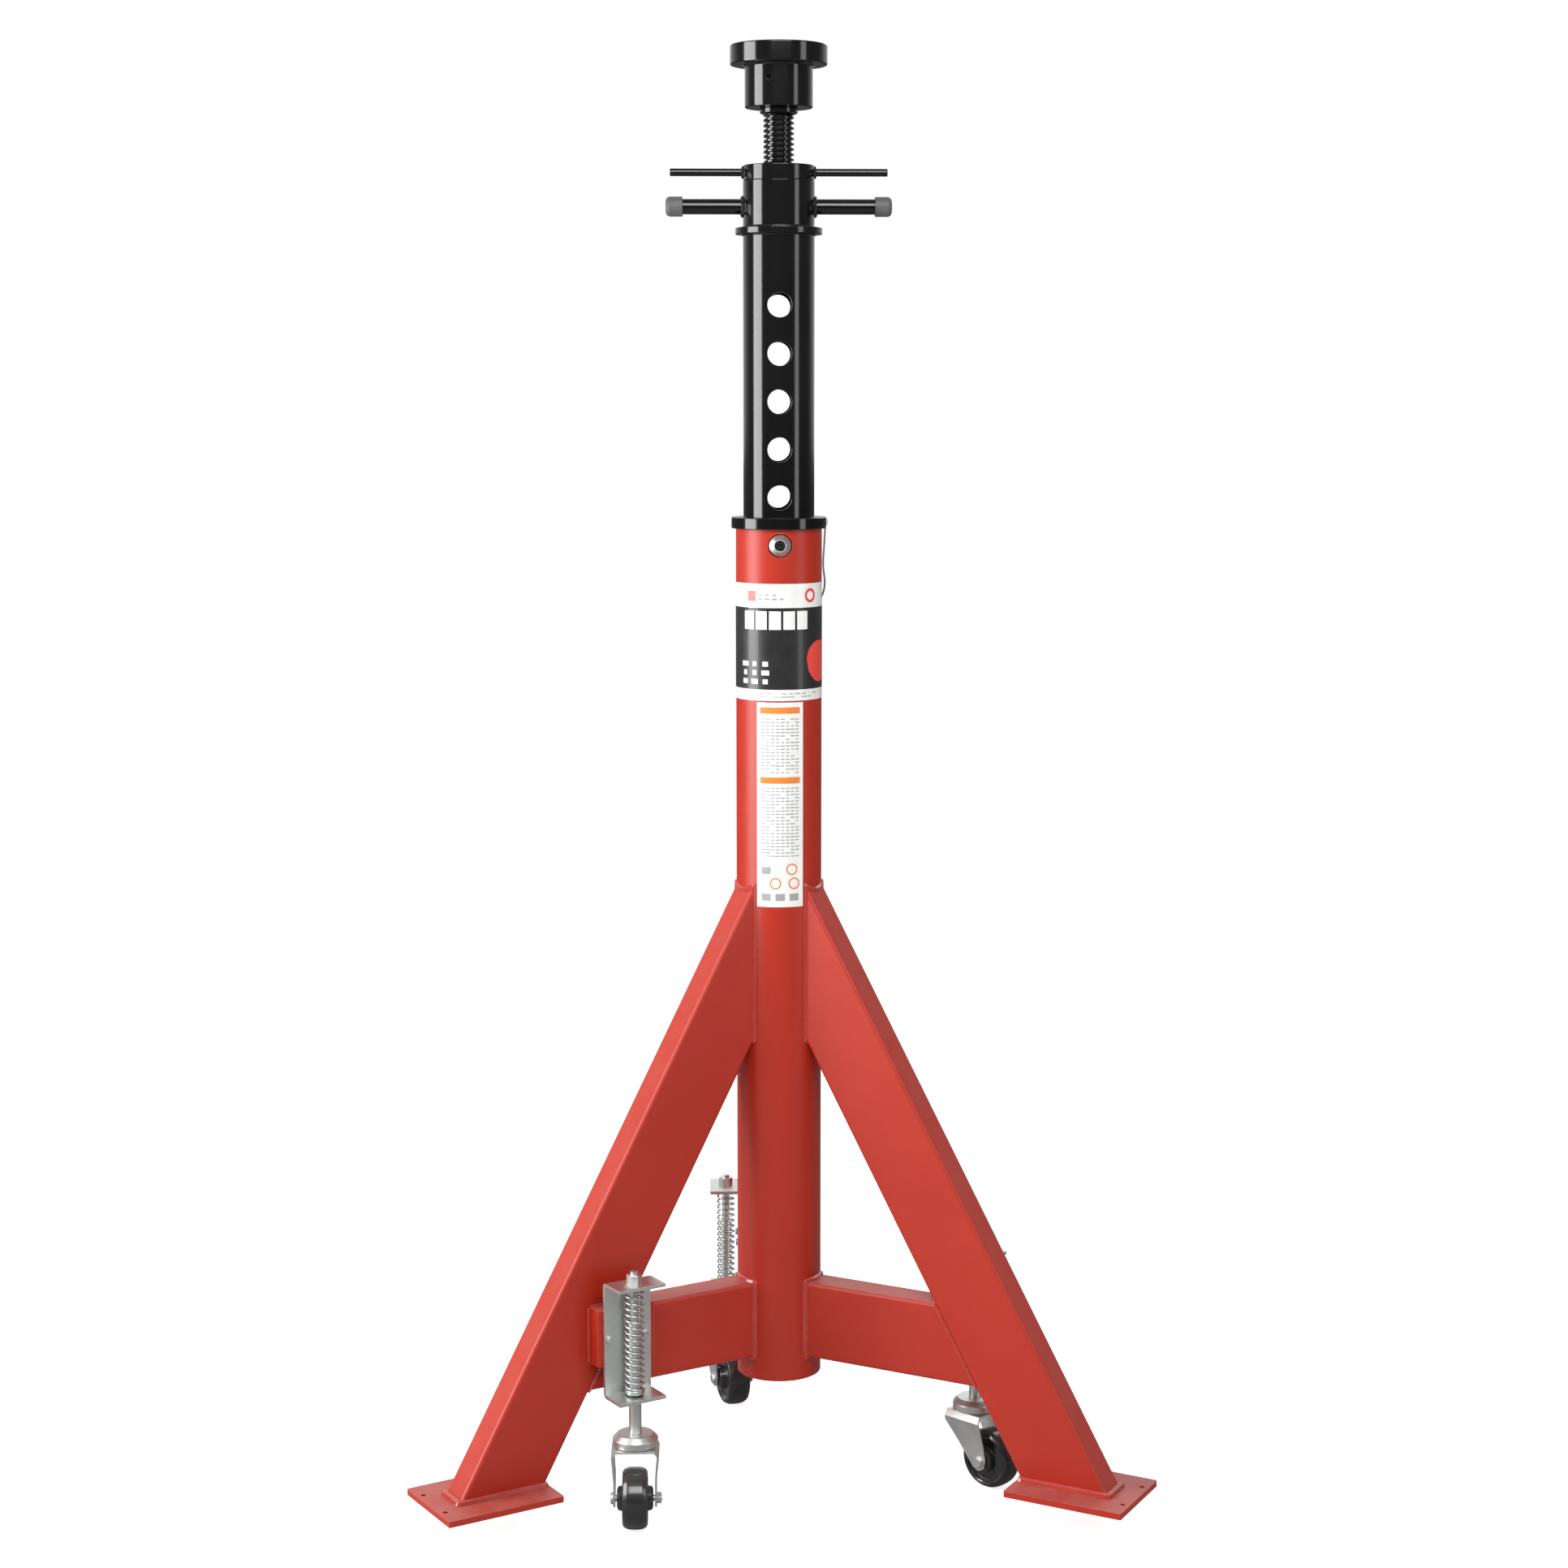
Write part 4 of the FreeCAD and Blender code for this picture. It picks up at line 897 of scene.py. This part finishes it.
def make_lanyard():
    """A wire rope that hangs from the guide ring and rises to the pin's flange."""
    route = [
        (59.1, 21.2, 1225.7), (58.0, 24.0, 1200.0), (56.2, 28.0, 1175.0),
        (60.5, 35.0, 1151.0), (55.0, 49.0, 1130.0), (43.0, 65.0, 1121.0),
        (26.0, 74.0, 1123.0), (11.0, 71.0, 1136.0), (3.0, 63.0, 1152.0),
        (0.5, 58.5, 1168.0), (0.0, 57.4, 1183.8),
    ]
    curve = bpy.data.curves.new("lanyard", "CURVE")
    curve.dimensions = "3D"
    curve.resolution_u = 12
    line = curve.splines.new("NURBS")
    line.points.add(len(route) - 1)
    for point, (x, y, z) in zip(line.points, route):
        point.co = (*(POST + Vector((x, y, z)) * MM), 1)
    line.order_u = 3
    line.use_endpoint_u = True
    guide = placed("lanyard_line", curve)
    centre = bpy.data.meshes.new_from_object(guide)
    path = [vertex.co.copy() for vertex in centre.vertices]
    bpy.data.objects.remove(guide)
    rope = add_piece("lanyard_rope", rope_mesh(path, 1.2 * MM), None, WIRE,
                     ["pin_lanyard"])
    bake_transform(rope)


def rope_mesh(path, radius, sides=12):
    """A closed tube along a path, with U along its length and V round it."""
    shape = bmesh.new()
    chart = shape.loops.layers.uv.new("along")
    across = Vector((0, 1, 0))
    rings, travelled = [], [0.0]
    for index, point in enumerate(path):
        ahead = path[min(index + 1, len(path) - 1)] - path[max(index - 1, 0)]
        ahead.normalize()
        across = (across - ahead * across.dot(ahead)).normalized()
        beside = ahead.cross(across)
        rings.append([shape.verts.new(point + (across * math.cos(t) + beside * math.sin(t))
                                      * radius) for t in circle(sides)])
        if index:
            travelled.append(travelled[-1] + (point - path[index - 1]).length)
    for index in range(len(path) - 1):
        low, high = rings[index], rings[index + 1]
        for side in range(sides):
            following = (side + 1) % sides
            face = shape.faces.new((low[side], high[side], high[following], low[following]))
            spots = ((index, side), (index + 1, side), (index + 1, side + 1), (index, side + 1))
            for loop, (row, column) in zip(face.loops, spots):
                loop[chart].uv = (travelled[row] / travelled[-1], column / sides)
    shape.faces.new(rings[0])
    shape.faces.new(rings[-1][::-1])
    return sealed(shape, "rope")


# --- casters ---

def rotate_to(direction, centre):
    """A frame at a point whose X axis lies along a level direction."""
    angle = math.atan2(direction[1], direction[0])
    return Matrix.Translation(centre) @ Matrix.Rotation(angle, 4, "Z")


def make_wheel(name):
    joint = joints[f"roll_{name}"]
    lay = Matrix.Rotation(math.pi / 2, 4, "Y")
    matrix = rotate_to(joint["axis"], joint["pos_m"]) @ lay
    half = [(4.05, 22.5), (11, 22.5), (14.5, 21), (16.5, 12.5), (27, 11), (29, 14),
            (31.5, 15.8), (35, 14), (37.3, 9.5), (38, 4)]
    outline = half + [(radius, -side) for radius, side in reversed(half)]
    add_piece(f"wheel_{name}", lathe("wheel", outline, 1.4, matrix=matrix),
              f"wheel_{name}", WHEEL_BLACK, [f"caster_wheel_{name}"])


def make_spring(name):
    low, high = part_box(f"caster_spring_{name}")
    centre = Vector(joints[f"swivel_{name}"]["pos_m"])
    height = high.z - low.z
    mesh = grown("spring", SPRING_TREE, Turns=18.5, Coil=11 * MM, Wire=1.5 * MM,
                 Height=height, Flat_share=0.045, Finish=SPRING_ZINC)
    mesh.transform(Matrix.Translation((centre.x, centre.y, low.z)))
    spring = add_piece(f"coil_spring_{name}", mesh, "base", None,
                       [f"caster_spring_{name}"])
    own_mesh(spring)


def make_caster(name):
    make_wheel(name)
    make_spring(name)
    for part, bevel in (("caster_fork", 0.5), ("caster_bracket", 0.5), ("swivel_cup", 0.4),
                        ("caster_stem", 0.3), ("stem_nut", 0.3), ("axle_bolt", 0.3)):
        refine(f"{part}_{name}", ZINC, bevel)


# --- legs ---

LEG_REACH = 470.0        # how far out the outer face is at the foot plate
LEG_LEAN = math.radians(30)
LEG_DEPTH = 100.0        # outer to inner face, square to the leg
SEAM_SIDE = 21.0         # half the flat width of a leg or a brace
PLATE_TOP = 48.0
LEG_HEEL = LEG_REACH - LEG_DEPTH / math.cos(LEG_LEAN)


def make_frame_bars():
    for name in LEGS:
        for part, bevel in (("leg", 0.6), ("brace", 0.6), ("foot_plate", 0.7)):
            refine(f"{part}_{name}", RED, bevel)


def leg_frame(azimuth):
    return UPRIGHT @ Matrix.Rotation(math.radians(azimuth), 4, "Z")


def line_mesh(points, matrix, closed=True):
    """A path of edges through points in millimetres, given in a leg's frame."""
    mesh = bpy.data.meshes.new("seam")
    verts = [Vector(point) * MM for point in points]
    edges = [(index, index + 1) for index in range(len(verts) - 1)]
    if closed:
        edges.append((len(verts) - 1, 0))
    mesh.from_pydata(verts, edges, [])
    mesh.transform(matrix)
    return mesh


def on_post(across):
    """How far out the post's surface is at a distance to one side."""
    return math.sqrt(POST_RADIUS**2 - across**2)


def leg_height(out, inset=0.0):
    """Height of a leg's outer face, or of a line inset from it, at a radius."""
    return PLATE_TOP + (LEG_REACH - inset / math.cos(LEG_LEAN) - out) / math.tan(LEG_LEAN)


def span(start, end, steps):
    return [start + (end - start) * step / steps for step in range(steps + 1)]


def leg_seams():
    """Closed seams of a leg on the post and on its foot plate, with bead radii."""
    side, post_bead, foot_bead, foot = SEAM_SIDE, 3.2, 5.6, PLATE_TOP + 0.5
    edge = on_post(side)
    top = [(on_post(t), t, leg_height(on_post(t))) for t in span(-side, side, 8)]
    down = [(edge, side, leg_height(edge, d)) for d in span(12, 88, 6)]
    low = [(on_post(t), t, leg_height(on_post(t), LEG_DEPTH)) for t in span(side, -side, 8)]
    back = [(edge, -side, leg_height(edge, d)) for d in span(88, 12, 6)]
    plate = [(LEG_REACH, -side, foot), (LEG_REACH, side, foot), (LEG_HEEL, side, foot),
             (LEG_HEEL, -side, foot)]
    return [(top + down + low + back, post_bead), (plate, foot_bead)]


def brace_seams():
    """Closed seams of a brace on the post and on the leg's inner face."""
    side, foot, top, post_bead, leg_bead = SEAM_SIDE, 158.0, 258.0, 4.0, 1.8
    edge = on_post(side)
    across = span(-side, side, 8)
    on_tube = [(on_post(t), t, top) for t in across]
    on_tube += [(edge, side, z) for z in span(top - 12, foot + 12, 6)]
    on_tube += [(on_post(t), t, foot) for t in reversed(across)]
    on_tube += [(edge, -side, z) for z in span(foot + 12, top - 12, 6)]
    on_leg = [(LEG_HEEL - (z - PLATE_TOP) * math.tan(LEG_LEAN), y, z)
              for y, z in ((-side, top), (side, top), (side, foot), (-side, foot))]
    return [(on_tube, post_bead), (on_leg, leg_bead)]


def pad_seams():
    """Seams round a caster pad, where it meets the leg's side."""
    inner, outer, foot, top, face = 211.0, 291.0, 196.0, 268.0, 22.5
    sides = [[(out, face, z) for z in span(foot + 1, top - 1, 6)] for out in (inner, outer)]
    ends = [[(out, face, z) for out in span(inner + 1, outer - 1, 6)] for z in (foot, top)]
    return [(line, 2.2) for line in sides] + [(line, 1.8) for line in ends]


def weld_bead(points, matrix, radius, finish, closed=True, **sizes):
    return grown("bead", WELD_TREE, line_mesh(points, matrix, closed), Bead=radius * MM,
                 Finish=finish, **sizes)


def make_leg_welds():
    for name, azimuth in LEGS.items():
        matrix = leg_frame(azimuth)
        beads = [weld_bead(points, matrix, radius, RED_WELD)
                 for points, radius in leg_seams() + brace_seams()]
        beads += [weld_bead(points, matrix, radius, RED_WELD, closed=False)
                  for points, radius in pad_seams()]
        add_piece(f"leg_welds_{name}", joined("welds", beads), "base", RED_WELD)


def bar_root(post_radius, bar_radius, height, side):
    """The ring where a level bar along X meets a round piece."""
    points = []
    for angle in circle(24):
        across = bar_radius * math.sin(angle)
        out = math.sqrt(post_radius**2 - across**2)
        points.append((side * out, across, height + bar_radius * math.cos(angle)))
    return points


def make_bar_welds():
    for body, post_radius, bar_radius, node, bead in (
        ("mast", MAST_RADIUS, 10.4, "lift_handle_right", 3.4),
        ("nut", NUT_RADIUS, 5.6, "nut_bar_right", 2.6),
    ):
        height = sum(heights(node)) / 2
        beads = [weld_bead(bar_root(post_radius, bar_radius, height, side), UPRIGHT, bead,
                           BLACK_WELD, Depth=0.2) for side in (-1, 1)]
        add_piece(f"{body}_bar_welds", joined("welds", beads), body, BLACK_WELD)
    foot, top = heights("stop_ring")
    for tag, height, bead in (("upper", top + 0.6, 1.8), ("lower", foot - 0.6, 1.5)):
        points = [(MAST_RADIUS * math.cos(t), MAST_RADIUS * math.sin(t), height)
                  for t in circle(64)]
        mesh = weld_bead(points, UPRIGHT, bead, BLACK_WELD, Depth=0.14)
        add_piece(f"stop_ring_weld_{tag}", mesh, "mast", BLACK_WELD)


# --- labels ---

LABEL_RADIUS = POST_RADIUS + 0.33       # just outside the label film
PRINT_LIFT = 0.08


def print_patch(shape, outline_rows, index, radius):
    """Add a patch to the shape: rows of (across, height) in mm, bent round the post."""
    rows = []
    for row in outline_rows:
        rows.append([
            shape.verts.new((radius * MM * math.sin(across / radius),
                             -radius * MM * math.cos(across / radius), height * MM))
            for across, height in row
        ])
    for low, high in zip(rows, rows[1:]):
        for step in range(len(low) - 1):
            face = shape.faces.new((low[step], low[step + 1], high[step + 1], high[step]))
            face.material_index = index


def bar_rows(left, right, foot, top):
    steps = max(2, math.ceil((right - left) / 3))
    across = span(left, right, steps)
    return [[(x, foot) for x in across], [(x, top) for x in across]]


def hump_rows(centre, half, foot, rise):
    """A plain half-round hump standing on a level line."""
    across = span(centre - half, centre + half, 16)
    top = []
    for x in across:
        share = min(1.0, abs(x - centre) / half)
        top.append((x, foot + 0.2 + rise * math.sqrt(1 - share**2)))
    return [[(x, foot) for x in across], top]


def ring_rows(centre, height, outer, inner):
    return [[(centre + radius * math.sin(t), height - radius * math.cos(t))
             for t in circle(24, 1)] for radius in (inner, outer)]


def make_print(name, patches, materials, lift=0.0):
    """Patches of ink in one piece; a lift in mm sets it outside the ink below."""
    shape = bmesh.new()
    for rows, index in patches:
        print_patch(shape, rows, index, LABEL_RADIUS + lift)
    bmesh.ops.remove_doubles(shape, verts=shape.verts, dist=1e-7)
    mesh = written(shape, name, UPRIGHT)
    for material in materials:
        mesh.materials.append(material)
    sheet = placed(name, mesh)
    body = sheet.modifiers.new("thickness", "SOLIDIFY")
    body.thickness = 0.05 * MM
    body.offset = 1
    add_piece(name, baked(sheet), "base", None)


def make_rows(name, material, **sizes):
    mesh = grown(name, ROWS_TREE, Finish=material, Radius=(LABEL_RADIUS + PRINT_LIFT) * MM,
                 **sizes)
    mesh.transform(UPRIGHT)
    add_piece(name, mesh, "base", None)


def make_labels():
    """Plain blocks, rings and rows of strokes where the real labels carry print."""
    foot, top = heights("wrap_label")
    reach = LABEL_RADIUS * math.radians(99)
    inks = [FILM_WHITE, INK_BLACK, INK_RED]
    white, black, red = range(3)
    make_print("wrap_print", [
        (bar_rows(-reach, reach, foot + 14, top - 30), black),
        (bar_rows(-44, -32, top - 22, top - 9), red),
        (ring_rows(42, top - 15, 9, 5.5), red),
    ], inks)
    make_rows("wrap_small_rows", INK_GREY, Rows=2, Bars=4, Width=0.028, Seed=4,
              Centre=-0.012, Foot=(top - 19) * MM, Row_pitch=0.005, Bar_height=0.0022)
    make_rows("wrap_foot_rows", INK_GREY, Rows=2, Bars=12, Width=0.1, Seed=6, Fill=0.5,
              Foot=(foot + 5) * MM, Row_pitch=0.004, Bar_height=0.0012)
    centre, half, waist = 62, 26, foot + 52
    overlay = [(bar_rows(x, x + 15, top - 57, top - 34), white)
               for x in (-50, -32, -14, 4, 22)]
    overlay.append((hump_rows(centre, half, waist, 22), red))
    hollow = [[(x, 2 * waist - z) for x, z in row]
              for row in hump_rows(centre, half, waist, 30)]
    overlay.append((hollow[::-1], red))
    make_print("wrap_overlay", overlay, inks, PRINT_LIFT)
    make_rows("wrap_title_rows", FILM_WHITE, Rows=3, Bars=3, Width=0.03, Seed=9, Fill=1.0,
              Centre=-0.034, Foot=(foot + 24) * MM, Row_pitch=0.011, Bar_height=0.006)

    foot, top = heights("guide_label")
    orange, grey = range(2)
    guide = [(bar_rows(-26, 26, top - depth, top - depth + 8), orange) for depth in (14, 102)]
    guide += [(ring_rows(x, foot + z, 7.5, 5.6), orange)
              for x, z in ((15, 48), (-6, 30), (18, 30))]
    guide += [(bar_rows(x - 6, x + 6, foot + z, foot + z + 9), grey)
              for x, z in ((-18, 8), (0, 8), (18, 8), (-18, 42))]
    make_print("guide_print", guide, [INK_ORANGE, INK_GREY])
    for part, rows, seed, depth, pitch in (("upper", 17, 2, 88, 0.0042),
                                           ("lower", 22, 3, 194, 0.0041)):
        make_rows(f"guide_{part}_rows", INK_GREY, Rows=rows, Bars=8, Width=0.044, Seed=seed,
                  Fill=0.88, Foot=(top - depth) * MM, Row_pitch=pitch, Bar_height=0.0014)


# --- everything else keeps its CAD shape ---

def paint_nodes():
    finishes = {
        "ring_set_screws": BLACK_OXIDE, "saddle_set_screw": BLACK_OXIDE,
        "lanyard_anchor": ZINC, "wrap_label": FILM_WHITE, "guide_label": FILM_WHITE,
        "stem_bushes": BUSH_PLASTIC, "bracket_screws": ZINC,
    }
    finishes.update({f"swivel_balls_{name}": BEARING for name in LEGS})
    for node, material in finishes.items():
        nodes[node].data.materials.clear()
        nodes[node].data.materials.append(material)


bpy.context.scene.view_settings.view_transform = "Standard"
add_camera()
make_lanyard()
add_world()
add_floor()
softbox("left strip", -74, distance=2.3, height=1.35, size=(1.3, 2.1), power=78)
softbox("right strip", 58, distance=2.5, height=1.35, size=(0.6, 2.1), power=11)
softbox("key", 4, distance=2.5, height=3.0, size=(2.4, 1.6), power=88, aim=1.1)
softbox("back fill", 165, distance=2.6, height=2.9, size=(2.4, 1.6), power=20, aim=0.8)
make_post()
make_mast()
make_rings()
make_saddle()
make_load_nut()
make_screw()
make_pin()
make_frame_bars()
refine("guide_ring", BLACK, 0.5)
refine("caster_pads", RED, 0.8)
make_handle_caps()
for bar in ("lift_handle_left", "lift_handle_right", "nut_bar_left", "nut_bar_right"):
    refine(bar, BLACK, 0.3)
for leg in LEGS:
    make_caster(leg)
make_leg_welds()
make_bar_welds()
make_labels()
paint_nodes()
